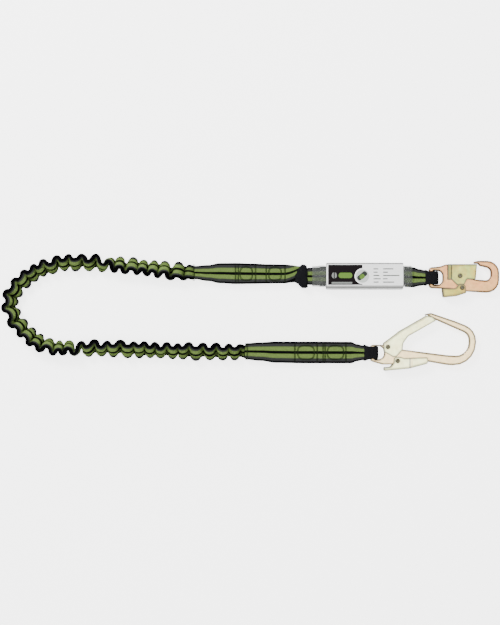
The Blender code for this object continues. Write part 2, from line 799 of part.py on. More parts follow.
def main():
    clear_scene()
    parts = new_collection("shock_absorbing_lanyard")
    cutters = new_collection("cutters")
    webbing = material("green_striped_webbing", GREEN, 0.85)
    black = material("black_wear_sleeve", BLACK, 0.8)
    rubber = material("elastic_core", RUBBER, 0.7)
    film = material("smoky_clear_film", FILM, 0.2, alpha=0.45)
    wrap = material("label_wrap", WRAP, 0.4)
    card = material("label_card", CARD, 0.35)
    copper_zinc = material("copper_tinted_zinc", COPPER_ZINC, 0.35, 0.9)
    yellow_zinc = material("yellow_zinc", YELLOW_ZINC, 0.35, 0.9)
    cream_zinc = material("cream_zinc", CREAM_ZINC, 0.35, 0.85)
    steel = material("bright_steel", STEEL, 0.3, 1.0)

    elastic_strand(parts, webbing, rubber)
    upper_end(parts, webbing)
    lower_end(parts, webbing, black)
    link(parts, webbing, black)
    tear_webbing(parts, webbing)
    absorber(parts, film, wrap, card)
    absorber_hook_loop(parts, webbing, black)
    hook(
        "snap", SNAP_EYE,
        (SNAP_BODY, SNAP_EYE_OPENING, SNAP_GATE, SNAP_GATE_INSIDE, SNAP_LEVER, SNAP_LEVER_INSIDE),
        (SNAP_PIVOT, SNAP_LOCK_PIVOT), parts, cutters, (copper_zinc, yellow_zinc, steel),
    )
    hook(
        "scaffold", SCAFFOLD_EYE,
        (SCAFFOLD_BODY, SCAFFOLD_EYE_OPENING, SCAFFOLD_GATE, SCAFFOLD_GATE_INSIDE,
         SCAFFOLD_LEVER, SCAFFOLD_LEVER_INSIDE),
        (SCAFFOLD_PIVOT, SCAFFOLD_LOCK_PIVOT), parts, cutters, (cream_zinc, cream_zinc, steel),
    )


main()
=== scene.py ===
"""Looks of a shock absorbing lanyard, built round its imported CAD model."""

import math

import bmesh
import bpy
import numpy as np
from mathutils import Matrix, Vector
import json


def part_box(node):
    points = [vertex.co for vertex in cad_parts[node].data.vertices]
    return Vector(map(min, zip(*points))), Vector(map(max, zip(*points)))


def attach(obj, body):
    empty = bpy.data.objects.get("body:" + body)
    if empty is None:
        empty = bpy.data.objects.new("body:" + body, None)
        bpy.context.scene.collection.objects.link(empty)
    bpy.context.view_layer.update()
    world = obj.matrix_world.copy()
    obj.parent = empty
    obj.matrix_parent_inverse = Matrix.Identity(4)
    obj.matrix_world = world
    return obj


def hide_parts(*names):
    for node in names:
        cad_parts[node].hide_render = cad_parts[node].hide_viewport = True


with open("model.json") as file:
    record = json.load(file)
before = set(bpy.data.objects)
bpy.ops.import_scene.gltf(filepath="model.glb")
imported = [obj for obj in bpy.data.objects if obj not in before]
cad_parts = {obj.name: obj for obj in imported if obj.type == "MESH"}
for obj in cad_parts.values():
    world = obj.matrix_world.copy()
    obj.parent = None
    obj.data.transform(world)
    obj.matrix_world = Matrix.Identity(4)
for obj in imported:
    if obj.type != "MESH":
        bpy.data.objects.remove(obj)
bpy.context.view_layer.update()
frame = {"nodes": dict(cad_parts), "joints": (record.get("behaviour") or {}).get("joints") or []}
JOINT_AT = {joint["name"]: Vector(joint["pos_m"]) for joint in frame["joints"]}

TAU = math.tau

# Lengths are in metres, and angles in degrees.

# Camera: straight above the middle of the U, with the hooks to the right.
LENS_MM = 85.0
SENSOR_MM = 36.0
VIEW_CENTRE = (-0.1865, 0.0065)
VIEW_HEIGHT = 2.969
CLIP_END = 50.0
FLOOR_SIZE = 12.0
FLOOR_GLOW = 3.0
KEY_LIGHT_PLACE = (-1.6, 1.9, 2.2)
KEY_LIGHT_SIZE = 0.9
KEY_LIGHT_POWER = 120.0

# Brightness of the studio's ceiling by the sine of the height above the horizon.
SKY = [
    (0.00, (0.34, 0.34, 0.35)),
    (0.60, (0.42, 0.42, 0.43)),
    (0.84, (1.60, 1.60, 1.60)),
    (0.95, (4.90, 4.90, 4.85)),
]

# Webbing: a woven polyester tube, whose stripes mirror about its black middle line.
WEB_WIDTH = 0.042
WEB_HALF_THICKNESS = 0.00135
LEG_GAP = 0.0003
LEG_LIFT = WEB_HALF_THICKNESS + LEG_GAP / 2
SECTION_POINTS = 56

# Ruffled elastic stretch, the same route as the CAD tube.
ELASTIC_ROUTE = [
    (-0.3012, 0.0864),
    (-0.3129, 0.0870),
    (-0.3665, 0.0925),
    (-0.4265, 0.0995),
    (-0.4865, 0.1045),
    (-0.5465, 0.1065),
    (-0.5865, 0.0995),
    (-0.6165, 0.0865),
    (-0.6425, 0.0675),
    (-0.6605, 0.0455),
    (-0.6665, 0.0230),
    (-0.6605, -0.0005),
    (-0.6425, -0.0245),
    (-0.6165, -0.0485),
    (-0.5865, -0.0615),
    (-0.5465, -0.0655),
    (-0.4865, -0.0650),
    (-0.3865, -0.0685),
    (-0.2865, -0.0715),
    (-0.1969, -0.0723),
]
ROUTE_SHARES = 30
TANGENT_REACH = 0.004
FLOOR_GAP = 0.0004

# Ruffles: section of the gathered tube, and how its folds ease at both ends, where it joins flat webbing.
RUFFLE_HALF_WIDTH = 0.0174
RUFFLE_HALF_THICKNESS = 0.0051
RUFFLE_COUNT = 38
RUFFLE_STEPS = 26
RUFFLE_SIDES = 32
RUFFLE_FADE = 0.010
RUFFLE_END_LEAN = 0.35
RUFFLE_NARROWS_OVER = 0.030
RUFFLE_JOINS_OVER = 0.05
STRAND_HALF_WIDTH = 0.0055
STRAND_HALF_THICKNESS = 0.0012
STRAND_SIDES = 12

# How unevenly the webbing is gathered: shares of a fold's lean, size and width, and degrees of roll.
LEAN_WOBBLE = 0.10
SIZE_WOBBLE = 0.34
WIDTH_WOBBLE = 0.06
ROLL_WOBBLE = 12.0
# Creases in each fold: (depth, waves across it, turn from fold to fold).
CREASES = [(0.15, 5.0, 1.3), (0.13, 9.0, -2.9)]

# How the ruffles lie along the route: share of its length, lean of the folds and roll of the webbing
# in degrees.  At roll 0 it lies flat, at 90 it stands on edge, and past that it leans to the outside.
RUFFLE_LIE = [
    (0.00, 80, 18),
    (0.04, 80, 34),
    (0.10, 80, 42),
    (0.18, 80, 48),
    (0.205, 80, 126),
    (0.25, 76, 134),
    (0.33, 73, 138),
    (0.50, 73, 138),
    (0.56, 78, 132),
    (0.63, 80, 126),
    (0.655, 76, 46),
    (0.70, 72, 41),
    (0.95, 72, 39),
    (1.00, 70, 24),
]
# Painted shade deep in the folds, darker nearer the floor: the height at which it starts to fade, the
# height over which it does, and its tint.
FOLD_LIGHT_FROM, FOLD_LIGHT_OVER = 0.008, 0.020
FOLD_SHADE = (0.22, 0.22, 0.22, 1.0)

# Flat webbing and loops.
STRIP_STEP = 0.0016
FOLD_STEPS = 16
SLEEVE_WALL = 0.0009
# Sleeves in the hooks' eyes: half width at the mouth and at the fold, length over which it narrows, and
# how far the mouth stands out of the CAD sleeve.
SCAFFOLD_SLEEVE = (0.0166, 0.0126, 0.011, 0.0002)
SNAP_SLEEVE = (0.0162, 0.0132, 0.0062, 0.0042)
LOOP_SLACK = 0.0010
SLEEVE_RIB_PITCH = 0.0024
SLEEVE_RIB_HEIGHT = 0.00035

# Sewn ends: (distance from the CAD end, middle y, half width, lift or 0 for flat, roll in degrees).
UPPER_END = [
    (0.0110, 0.0865, 0.0130, 0, 0),
    (0.0160, 0.0864, 0.0134, 0, 0),
    (0.042, 0.0855, 0.0162, 0, 0),
    (0.066, 0.0852, 0.0203, 0, 0),
    (0.098, 0.0845, 0.0212, 0, 0),
    (0.130, 0.0842, 0.0205, 0, 0),
    (0.162, 0.0838, 0.0195, 0, 0),
    (0.196, 0.0838, 0.0190, 0, 0),
    (0.208, 0.0840, 0.0176, 0.0030, 8),
]
# At the fold: middle y and half width.
UPPER_FOLD = (0.0838, 0.0156)
# Near the link the tube is folded afresh: its stripes slide across by a share of it, over a length.
SLIDE_SHARE, SLIDE_LENGTH = 0.30, 0.030
UPPER_TAIL = 0.030
# Seams, by distance from the CAD end: bars across, and ovals as (middle, half length).
UPPER_SEAMS = [0.0136, 0.0972, 0.1026, 0.1372, 0.1586, 0.1962]
UPPER_OVALS = [(0.1186, 0.0132), (0.1761, 0.0134)]
UPPER_SEAM_HALF = 0.0165
LOWER_END = [
    (0.000, -0.0714, 0.0163, 0, 0),
    (0.030, -0.0718, 0.0186, 0, 0),
    (0.062, -0.0730, 0.0214, 0, 0),
    (0.122, -0.0736, 0.0219, 0, 0),
    (0.212, -0.0738, 0.0217, 0, 0),
    (0.2245, -0.0739, 0.0173, 0.0042, 0),
    (0.2345, -0.0740, 0.0150, 0.0072, 0),
    (0.2460, -0.0741, 0.0116, 0.0091, 0),
]
LOWER_SEAMS = [0.0046, 0.1000, 0.1446, 0.1565, 0.1605, 0.2020]
LOWER_OVALS = [(0.1222, 0.0176), (0.1812, 0.0172)]
LOWER_SEAM_HALF = 0.0170
HIDDEN_TAIL = 0.013
# Loop into the link: half widths at its hidden end, where it bends apart and at its fold.
LINK_LOOP_HALVES = (0.0176, 0.0174, 0.0150)
LINK_LOOP_BEND = 0.010
# Loop round the snap hook's eye, like the sewn ends but by distance from the eye.
HOOK_LOOP = [
    (-0.0520, 0.0776, 0.0203, 0, 0),
    (-0.0360, 0.0770, 0.0203, 0.0030, 0),
    (-0.0240, 0.0764, 0.0170, 0.0060, 0),
    (-0.0120, 0.0760, 0.0148, 0.0086, 0),
    (-0.0050, 0.0759, 0.0120, 0.0091, 0),
]
# Stitching: rows a gap apart, each stitch an arch of (share along, lift) with a radius at each point.
SEAM_ROW_GAP = 0.0017
SEAM_DEPTH = 0.0008
SEAM_SPREAD = 0.0016
STITCH_PITCH = 0.0027
STITCH_SIDES = 6
STITCH_ARCH = [(0.02, -0.0002), (0.25, 0.0003), (0.75, 0.0003), (0.98, -0.0002)]
STITCH_RADII = [0.0004, 0.00062, 0.00062, 0.0004]
OVAL_STEPS = 40
OVAL_EDGE = 0.0022
OVAL_SQUARENESS = 0.7

# Choked link, in shares of the CAD sleeve: place along it, sideways place, half length and half height.
LINK_SHAPE = [
    (0.00, 0.20, 0.16, 0.16),
    (0.05, 0.19, 0.33, 0.34),
    (0.14, 0.10, 0.40, 0.44),
    (0.28, -0.06, 0.57, 0.49),
    (0.50, -0.06, 0.57, 0.50),
    (0.70, 0.00, 0.49, 0.49),
    (0.86, 0.08, 0.36, 0.44),
    (0.95, 0.12, 0.27, 0.34),
    (1.00, 0.10, 0.13, 0.16),
]
LINK_REACH = 0.0012
LINK_SIDES = 40
LINK_STEP = 0.02
LINK_PLEAT_DEPTH = 0.07
LINK_PLEATS = 3.5
LINK_PLEAT_SLANT = 2.2

# Absorber: how its films reach past their CAD boxes, and their shapes as shares of those boxes along,
# across and up.
TEAR_LAYERS = 5
TEAR_STEPS = 24
TEAR_TURN_STEPS = 8
TEAR_THINNING = 0.95
FILM_SIDES = 72
FILM_STEP = 0.02
FILM_OVERHANG = 0.0065
FILM_WALL = 0.0004
FILM_SQUARENESS = 0.5
FILM_RIPPLE = 0.035
FILM_WAVES = ((46.0, 9.0), (17.0, 23.0))
WRAP_REACH = 0.0012
WRAP_WALL = 0.0006
WRAP_SQUARENESS = 0.14
WRAP_RIPPLE = 0.006
WRAP_LEAN = 0.0014
SLEEVE_SHAPE = [
    (0.00, 0.94, 0.80),
    (0.03, 0.97, 0.90),
    (0.08, 1.00, 1.00),
    (0.93, 1.00, 1.00),
    (0.975, 0.98, 0.92),
    (1.00, 0.93, 0.78),
]
WRAP_SHAPE = [
    (0.000, 0.985, 0.96),
    (0.012, 1.000, 1.00),
    (0.988, 1.000, 1.00),
    (1.000, 0.985, 0.96),
]

# Label, from the card's left end and its middle line.
LABEL_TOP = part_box("label_card")[1].z
INK = 0.00012
# How far the card's corners lie from the CAD card's, at the lower left and at the upper right.
CARD_LOW_REACH = (-0.0027, 0.0012)
CARD_HIGH_REACH = (0.0023, 0.0042)
CARD_CORNER = 0.0012
PANEL_BORDER = 0.0013
PANEL_LENGTH = 0.0672
# Bars on the panel: (lower side from the middle line, left end, right end, height).
PANEL_BARS = [
    (-0.0040, 0.0195, 0.0470, 0.0110),
    (-0.0050, 0.0060, 0.0160, 0.0130),
    (-0.0152, 0.0055, 0.0470, 0.0036),
]
INSET_RADIUS = 0.0156
INSET_RIM = 0.0024
# Slanted bars in the inset: (half length, half width, place along and across the slant).
INSET_SLANT = 40
INSET_DARK_BAR = (0.0112, 0.0050, 0.0, 0.0010)
INSET_GREEN_BAR = (0.0052, 0.0044, -0.0010, -0.0002)
ROW_TOP = 0.0145
ROW_PITCH = 0.0066
ROW_HEIGHT = 0.0019
COLUMN_STARTS = (0.0890, 0.1080)
ROW_LENGTHS = [(0.0100, 0.0210), (0.0085, 0.0100), (0.0120, 0.0330), (0.0150, 0.0095), (0.0105, 0.0225)]
# Corners: a bar's height over its corner's radius, and that radius as a share of a slanted bar's half
# width.
BAR_ROUNDNESS = 2.2
SLANTED_BAR_ROUNDNESS = 0.8
CORNER_STEPS = 6
DISC_STEPS = 48

# Zinc plating on the hooks: its sheen at a grazing angle, its grain, and the colour, reach and fall of the
# painted shade along its edges.
GRAZING_TINT = (0.22, 0.20, 0.16, 1.0)
ZINC_GRAIN = 0.00004
EDGE_SHADE_COLOUR = (0.075, 0.07, 0.06, 1.0)
EDGE_REACH = 0.0040
SHEET_EDGE_REACH = 0.0034
EDGE_FALL = 0.65

# Size of a forging's mesh, and how many points are measured to an outline at once.
FORGING_VOXEL = 0.0008
WALL_CHUNK = 4000
# Edge radius of a forging: small at its flat middle, large round its bow and, by a share, its eye.
FLAT_RADIUS = 0.0018
BOW_RADIUS = 0.0046
BOW_EASE = 0.035
EYE_END = 0.028
EYE_EASE = 0.012
EYE_SHARE = 0.75
# Pressings: how round their edges are, the size of their mesh, and the least angle of an edge.
SHEET_EDGE = 0.00045
SHEET_GRID = 0.0012
SHARP_FOLD = 35

# Rivets: heads with a domed rim round a dimple.
RIVET_HEAD_HEIGHT = 0.0017
RIVET_DIMPLE = 0.0007
RIVET_SHANK = 0.0025
# Share of a rivet's head that its dimple takes up, at the bottom and at the rim, and the share of the
# dimple's depth that is left at the edge of its bottom.
RIVET_DIMPLE_SHARES = (0.20, 0.34)
RIVET_DIMPLE_RISE = 0.8
RIVET_RIM_DROP = 0.0001
RIVET_DOME_SHARE = 0.98
RIVET_DOME_STEPS = 6
RIVET_SIDES = 40

# Tints across the pressings, with painted shade where their folds start, and across the wrap, with painted
# shade down its sides where it turns down: (place in metres, colour).
# The gate's fold: painted shade in a thin dark line and a duller band beside it, slight tints elsewhere.
SNAP_GATE_BANDS = [
    (0.2083, (0.44, 0.46, 0.56)),
    (0.2146, (0.58, 0.58, 0.62)),
    (0.2154, (0.12, 0.14, 0.34)),
    (0.2168, (0.12, 0.14, 0.34)),
    (0.2180, (0.84, 0.84, 0.90)),
    (0.2350, (1.00, 1.00, 1.00)),
    (0.2480, (0.92, 1.02, 1.00)),
    (0.2675, (1.00, 1.00, 0.92)),
]
# The lever's fold: painted shade in a thin dark line, with slight tints beside it.
SCAFFOLD_LEVER_BANDS = [
    (0.0900, (1.00, 1.00, 1.00)),
    (0.1312, (1.00, 1.00, 1.00)),
    (0.1322, (0.34, 0.34, 0.50)),
    (0.1338, (0.38, 0.37, 0.50)),
    (0.1352, (0.88, 0.78, 0.80)),
    (0.1385, (0.94, 0.84, 0.76)),
    (0.1395, (1.00, 1.00, 1.00)),
    (0.1500, (1.00, 1.00, 1.00)),
]
# Painted shade down the wrap's sides, where it turns down, around the pale film of its top.
PAINTED_WRAP_SIDE_SHADE = [
    (0.0510, (0.09, 0.09, 0.09)),
    (0.0560, (0.16, 0.16, 0.158)),
    (0.0598, (0.36, 0.36, 0.355)),
    (0.0612, (0.80, 0.80, 0.795)),
    (0.1024, (0.80, 0.80, 0.795)),
    (0.1034, (0.22, 0.22, 0.218)),
    (0.1060, (0.14, 0.14, 0.14)),
]

# Shades in the materials, as (position, colour) stops: random tones of the yarn and the zinc, and painted
# shade in the weave's grooves.
YARN_SHADES = [(0.25, (0.62, 0.62, 0.62)), (0.75, (1.25, 1.25, 1.2))]
GROOVE_SHADES = [(0.0, (0.62, 0.62, 0.62)), (0.6, (1.0, 1.0, 1.0))]
ZINC_SPECKLE = [(0.3, (0.86, 0.86, 0.86)), (0.7, (1.0, 1.0, 1.0))]
STRIPE_RAGGEDNESS = 0.02
WRINKLE_SCALE = (30.0, 90.0, 90.0)


# ---------------------------------------------------------------- materials


def new_material(name, colour, roughness, metallic=0.0, specular=None):
    """A Principled material, with the values that are even all over the surface."""
    made = bpy.data.materials.new(name)
    made.use_nodes = True
    shader = made.node_tree.nodes["Principled BSDF"]
    shader.inputs["Base Color"].default_value = (*colour, 1.0)
    shader.inputs["Roughness"].default_value = roughness
    shader.inputs["Metallic"].default_value = metallic
    if specular is not None:
        shader.inputs["Specular IOR Level"].default_value = specular
    return made, made.node_tree, shader


def node(tree, kind, **values):
    """A shader node, with its properties and its inputs' values set by name."""
    made = tree.nodes.new(kind)
    for key, value in values.items():
        if hasattr(made, key):
            setattr(made, key, value)
        else:
            made.inputs[key.replace("_", " ")].default_value = value
    return made


def object_coordinates(tree, scale=(1.0, 1.0, 1.0)):
    """Coordinates in metres, stretched by a scale for each axis."""
    source = node(tree, "ShaderNodeTexCoord")
    mapping = node(tree, "ShaderNodeMapping")
    mapping.inputs["Scale"].default_value = scale
    tree.links.new(source.outputs["Object"], mapping.inputs["Vector"])
    return mapping.outputs["Vector"]


def ramp(tree, factor, stops):
    """A colour ramp through (position, colour) stops."""
    made = node(tree, "ShaderNodeValToRGB")
    elements = made.color_ramp.elements
    while len(elements) < len(stops):
        elements.new(1.0)
    for element, (position, colour) in zip(elements, stops):
        element.position = position
        element.color = (*colour, 1.0)
    tree.links.new(factor, made.inputs["Fac"])
    return made.outputs["Color"]


def noise(tree, vector, scale, detail=3.0, roughness=0.5):
    made = node(tree, "ShaderNodeTexNoise", Scale=scale, Detail=detail, Roughness=roughness)
    tree.links.new(vector, made.inputs["Vector"])
    return made.outputs["Fac"]


def feed(tree, sockets, values):
    """Links each socket to another node's output, or sets it to a plain value."""
    for socket, value in zip(sockets, values):
        if isinstance(value, bpy.types.NodeSocket):
            tree.links.new(value, socket)
        else:
            socket.default_value = value


def mixed(tree, blend, factor, first, second):
    """Two colours mixed; the factor and the second colour may be plain values."""
    made = node(tree, "ShaderNodeMix", data_type="RGBA", blend_type=blend)
    feed(tree, (made.inputs[0], made.inputs[6], made.inputs[7]), (factor, first, second))
    return made.outputs[2]


def arithmetic(tree, operation, *values):
    made = node(tree, "ShaderNodeMath", operation=operation)
    feed(tree, made.inputs, values)
    return made.outputs[0]


def paint(tree, shader, factor, stops):
    """Base colour from a colour ramp."""
    tree.links.new(ramp(tree, factor, stops), shader.inputs["Base Color"])


def bump(tree, shader, height, distance, strength):
    made = node(tree, "ShaderNodeBump", Distance=distance, Strength=strength)
    tree.links.new(height, made.inputs["Height"])
    tree.links.new(made.outputs["Normal"], shader.inputs["Normal"])


def weave_coordinates(tree):
    """The webbing's UV map, its part across the stripes and its part along them."""
    uv = node(tree, "ShaderNodeUVMap", uv_map="weave")
    parts = node(tree, "ShaderNodeSeparateXYZ")
    tree.links.new(uv.outputs["UV"], parts.inputs["Vector"])
    return uv.outputs["UV"], parts.outputs["X"], parts.outputs["Y"]


def weave_height(tree, across, along, ends, picks):
    """Height of a twill weave: ridges of yarn across and along, a half step apart in each row."""
    warp = arithmetic(tree, "SINE", arithmetic(tree, "MULTIPLY", across, ends * TAU))
    step = arithmetic(tree, "MULTIPLY", across, ends * TAU / 2)
    slant = arithmetic(tree, "ADD", arithmetic(tree, "MULTIPLY", along, picks * TAU), step)
    return arithmetic(tree, "MULTIPLY_ADD", warp, arithmetic(tree, "SINE", slant), 0.5)


def webbing_material(name, green, grey, black, edge=0.085):
    """Striped webbing, from a UV map that runs 0 to 1 across the stripes and along in webbing widths.

    The black stripe at each side, painted shade where the tube's edges curve down, is as wide as the share
    given by edge.  The mesh's attribute "fold_shade" is 1 deep in the folds, where painted shade darkens
    the yarn.
    """
    made, tree, shader = new_material(name, green, 0.78, specular=0.0)
    uv, across, along = weave_coordinates(tree)
    ragged = arithmetic(tree, "SUBTRACT", noise(tree, uv, scale=60.0, detail=2.0), 0.5)
    shifted = arithmetic(tree, "ADD", across, arithmetic(tree, "MULTIPLY", ragged, STRIPE_RAGGEDNESS))
    faded = tuple((2.0 * dark + light) / 3.0 for dark, light in zip(grey, green))
    # Black at each side: painted shade where the tube's edges curve down.
    half = [
        (0.0, black),
        (edge, black),
        (edge + 0.02, grey),
        (0.20, grey),
        (0.23, faded),
        (0.26, green),
        (0.425, green),
        (0.443, black),
        (0.5, black),
    ]
    mirrored = [(1.0 - position, colour) for position, colour in reversed(half[:-1])]
    stripes = ramp(tree, shifted, half + mirrored)
    shade = ramp(tree, noise(tree, uv, scale=26.0, detail=4.0, roughness=0.7), YARN_SHADES)
    overlay = mixed(tree, "MULTIPLY", 1.0, stripes, shade)
    height = weave_height(tree, across, along, ends=34.0, picks=22.0)
    # Painted shade in the weave's grooves: darker where the weave's height is low.
    woven = mixed(tree, "MULTIPLY", 0.55, overlay, ramp(tree, height, GROOVE_SHADES))
    # Painted shade deep in the folds, from the mesh's fold_shade attribute.
    folds = node(tree, "ShaderNodeAttribute", attribute_name="fold_shade")
    shaded = mixed(tree, "MULTIPLY", folds.outputs["Fac"], woven, FOLD_SHADE)
    tree.links.new(shaded, shader.inputs["Base Color"])
    bump(tree, shader, height, distance=0.0003, strength=0.7)
    return made


def sleeve_material(name, colour):
    """Tight black tubular sleeve with fine ribs, from a UV map like the webbing's."""
    made, tree, shader = new_material(name, colour, 0.7, specular=0.0)
    uv, across, along = weave_coordinates(tree)
    lighter = tuple(channel * 2.6 for channel in colour)
    lint = noise(tree, uv, scale=40.0, detail=5.0, roughness=0.75)
    paint(tree, shader, lint, [(0.35, colour), (0.75, lighter)])
    ribs = weave_height(tree, across, along, ends=26.0, picks=30.0)
    bump(tree, shader, ribs, distance=0.00035, strength=0.8)
    return made


def grained_material(name, colour, roughness, grain, stops, relief=None, metallic=0.0, specular=None):
    """Colours in a fine grain, given as noise (scale, detail); relief is (noise, bump depth, strength)."""
    made, tree, shader = new_material(name, colour, roughness, metallic, specular)
    vector = object_coordinates(tree)
    paint(tree, shader, noise(tree, vector, *grain), stops)
    if relief:
        rough, depth, strength = relief
        bump(tree, shader, noise(tree, vector, *rough), depth, strength)
    return made


def printed_material(name, colour):
    """Printed card under clear film: even ink with a faint grain."""
    darker = tuple(channel * 0.86 for channel in colour)
    stops = [(0.3, darker), (0.7, colour)]
    return grained_material(
        name, colour, 0.3, (700.0, 3.0), stops, relief=((160.0, 2.0), 0.0001, 0.3), specular=0.02,
    )


def banded(tree, bands, axis="X"):
    """Colours along one axis of the piece: (place in metres, colour)."""
    parts = node(tree, "ShaderNodeSeparateXYZ")
    tree.links.new(object_coordinates(tree), parts.inputs["Vector"])
    places = [place for place, _ in bands]
    reach = node(tree, "ShaderNodeMapRange", From_Min=places[0], From_Max=places[-1])
    tree.links.new(parts.outputs[axis], reach.inputs["Value"])
    span = places[-1] - places[0]
    stops = [((place - places[0]) / span, colour) for place, colour in bands]
    return ramp(tree, reach.outputs["Result"], stops)


def zinc_material(name, tints, roughness, metallic, bands=None):
    """Passivated zinc plating: cloudy patches of several tints, a fine grain, and painted shade along its
    edges.

    The mesh's attribute "edge" is 1 along its outline and falls to 0 a little way in.  Bands across a
    pressing are painted shade where its folds start, with slight tints of the plating between: (x in
    metres, tint).
    """
    made, tree, shader = new_material(name, tints[0], roughness, metallic)
    shader.inputs["Specular Tint"].default_value = GRAZING_TINT
    vector = object_coordinates(tree)
    spread = [0.3 + 0.4 * index / (len(tints) - 1) for index in range(len(tints))]
    clouds = noise(tree, vector, scale=34.0, detail=3.0, roughness=0.55)
    tinted = ramp(tree, clouds, list(zip(spread, tints)))
    speckle = ramp(tree, noise(tree, vector, scale=900.0, detail=2.0), ZINC_SPECKLE)
    plated = mixed(tree, "MULTIPLY", 0.6, tinted, speckle)
    # Painted shade at a pressing's folds, from its bands.
    if bands:
        plated = mixed(tree, "MULTIPLY", 1.0, plated, banded(tree, bands))
    # Painted shade along the outline, where the edge attribute is high.
    edge = node(tree, "ShaderNodeAttribute", attribute_name="edge")
    overlay = mixed(tree, "MIX", edge.outputs["Fac"], plated, EDGE_SHADE_COLOUR)
    tree.links.new(overlay, shader.inputs["Base Color"])
    low, high = (roughness - 0.08,) * 3, (roughness + 0.12,) * 3
    smudges = noise(tree, vector, scale=120.0, detail=4.0, roughness=0.6)
    smudged = ramp(tree, smudges, [(0.3, low), (0.7, high)])
    tree.links.new(smudged, shader.inputs["Roughness"])
    grain = noise(tree, vector, scale=1400.0, detail=3.0)
    bump(tree, shader, grain, distance=ZINC_GRAIN, strength=0.6)
    return made


def film_material(name, colour, roughness, alpha=1.0, painted_side_shade=None):
    """Glossy film with soft wrinkles, lighter where they rise, or banded with painted shade down its sides.
    """
    made, tree, shader = new_material(name, colour, roughness, specular=0.16)
    shader.inputs["Alpha"].default_value = alpha
    stretched = object_coordinates(tree, WRINKLE_SCALE)
    wrinkles = noise(tree, stretched, scale=2.5, detail=3.0, roughness=0.6)
    bump(tree, shader, wrinkles, distance=0.0008, strength=0.5)
    if painted_side_shade:
        # Painted shade down the sides, banded across the film.
        tree.links.new(banded(tree, painted_side_shade, "Y"), shader.inputs["Base Color"])
    else:
        # Lighter where the wrinkles rise: the colour follows the same noise as their bumps.
        raised_colour = tuple(channel * 1.35 for channel in colour)
        paint(tree, shader, wrinkles, [(0.35, colour), (0.7, raised_colour)])
    return made


WEBBING_YARNS = ((0.128, 0.192, 0.054), (0.030, 0.031, 0.032), (0.0025, 0.0025, 0.003))
GREEN_WEBBING = webbing_material("green_striped_webbing", *WEBBING_YARNS)
# The ruffled copy's wider black sides are more painted shade, where its edges curve down in the folds.
RUFFLED_WEBBING = webbing_material("ruffled_striped_webbing", *WEBBING_YARNS, edge=0.135)
BLACK_SLEEVE = sleeve_material("black_sleeve", (0.006, 0.006, 0.007))
THREAD = grained_material(
    "sewing_thread", (0.02, 0.03, 0.012), 0.6, (900.0, 2.0),
    [(0.3, (0.005, 0.008, 0.004)), (0.8, (0.022, 0.032, 0.013))], specular=0.0,
)
RUBBER = grained_material(
    "elastic_rubber", (0.05, 0.05, 0.045), 0.75, (1500.0, 3.0),
    [(0.3, (0.035, 0.035, 0.032)), (0.7, (0.07, 0.07, 0.06))], relief=((1500.0, 3.0), 0.0001, 0.5),
)
STEEL = grained_material(
    "plated_steel", (0.24, 0.22, 0.16), 0.5, (300.0, 3.0),
    [(0.3, (0.06, 0.055, 0.035)), (0.7, (0.13, 0.12, 0.085))], relief=((2000.0, 3.0), 0.00003, 0.6),
    metallic=1.0,
)
COPPER_TINTS = [(0.57, 0.26, 0.12), (0.58, 0.29, 0.12), (0.53, 0.32, 0.13)]
YELLOW_TINTS = [(0.43, 0.30, 0.06), (0.39, 0.35, 0.08), (0.44, 0.27, 0.055)]
YELLOW_GATE_TINTS = [(0.45, 0.33, 0.08), (0.40, 0.42, 0.12), (0.46, 0.29, 0.07)]
CREAM_TINTS = [(0.88, 0.70, 0.38), (0.90, 0.68, 0.36), (0.84, 0.70, 0.38)]
CREAM_SHEET_TINTS = [(0.97, 0.90, 0.47), (0.93, 0.96, 0.55), (0.99, 0.88, 0.46)]
COPPER_ZINC = zinc_material("copper_tinted_zinc", COPPER_TINTS, roughness=0.34, metallic=0.9)
YELLOW_ZINC = zinc_material("yellow_green_zinc", YELLOW_TINTS, roughness=0.36, metallic=0.9)
YELLOW_GATE_ZINC = zinc_material(
    "yellow_green_gate_zinc", YELLOW_GATE_TINTS, roughness=0.36, metallic=0.9, bands=SNAP_GATE_BANDS,
)
CREAM_ZINC = zinc_material("cream_zinc", CREAM_TINTS, roughness=0.36, metallic=0.85)
CREAM_SHEET = zinc_material("cream_zinc_sheet", CREAM_SHEET_TINTS, roughness=0.36, metallic=0.85)
CREAM_LEVER_SHEET = zinc_material(
    "cream_zinc_lever_sheet", CREAM_SHEET_TINTS, roughness=0.36, metallic=0.85, bands=SCAFFOLD_LEVER_BANDS,
)
CLEAR_FILM = film_material("smoky_clear_film", (0.075, 0.08, 0.076), 0.22, alpha=0.30)
WRAP_FILM = film_material("pale_wrap_film", (0.8, 0.8, 0.8), 0.3, painted_side_shade=PAINTED_WRAP_SIDE_SHADE)
WHITE_PRINT = printed_material("white_print", (0.96, 0.96, 0.96))
BLACK_PRINT = printed_material("black_print", (0.007, 0.005, 0.006))
GREEN_PRINT = printed_material("green_print", (0.10, 0.19, 0.035))
GREY_PRINT = printed_material("grey_print", (0.20, 0.21, 0.20))
PALE_PRINT = printed_material("pale_print", (0.50, 0.53, 0.50))
DARK_PRINT = printed_material("dark_print", (0.030, 0.036, 0.030))

# Each hook: its prefix, the materials of its forging, gate and lever, the slots of its forging and its
# pressings, and how far from the eye its bow starts to be round.
HOOKS = [
    ("snap", COPPER_ZINC, YELLOW_GATE_ZINC, YELLOW_ZINC, "copper_zinc", "yellow_zinc", 0.072),
    ("scaffold", CREAM_ZINC, CREAM_SHEET, CREAM_LEVER_SHEET, "cream_zinc", "cream_zinc_sheet", 0.070),
]


# ---------------------------------------------------------------- mesh helpers


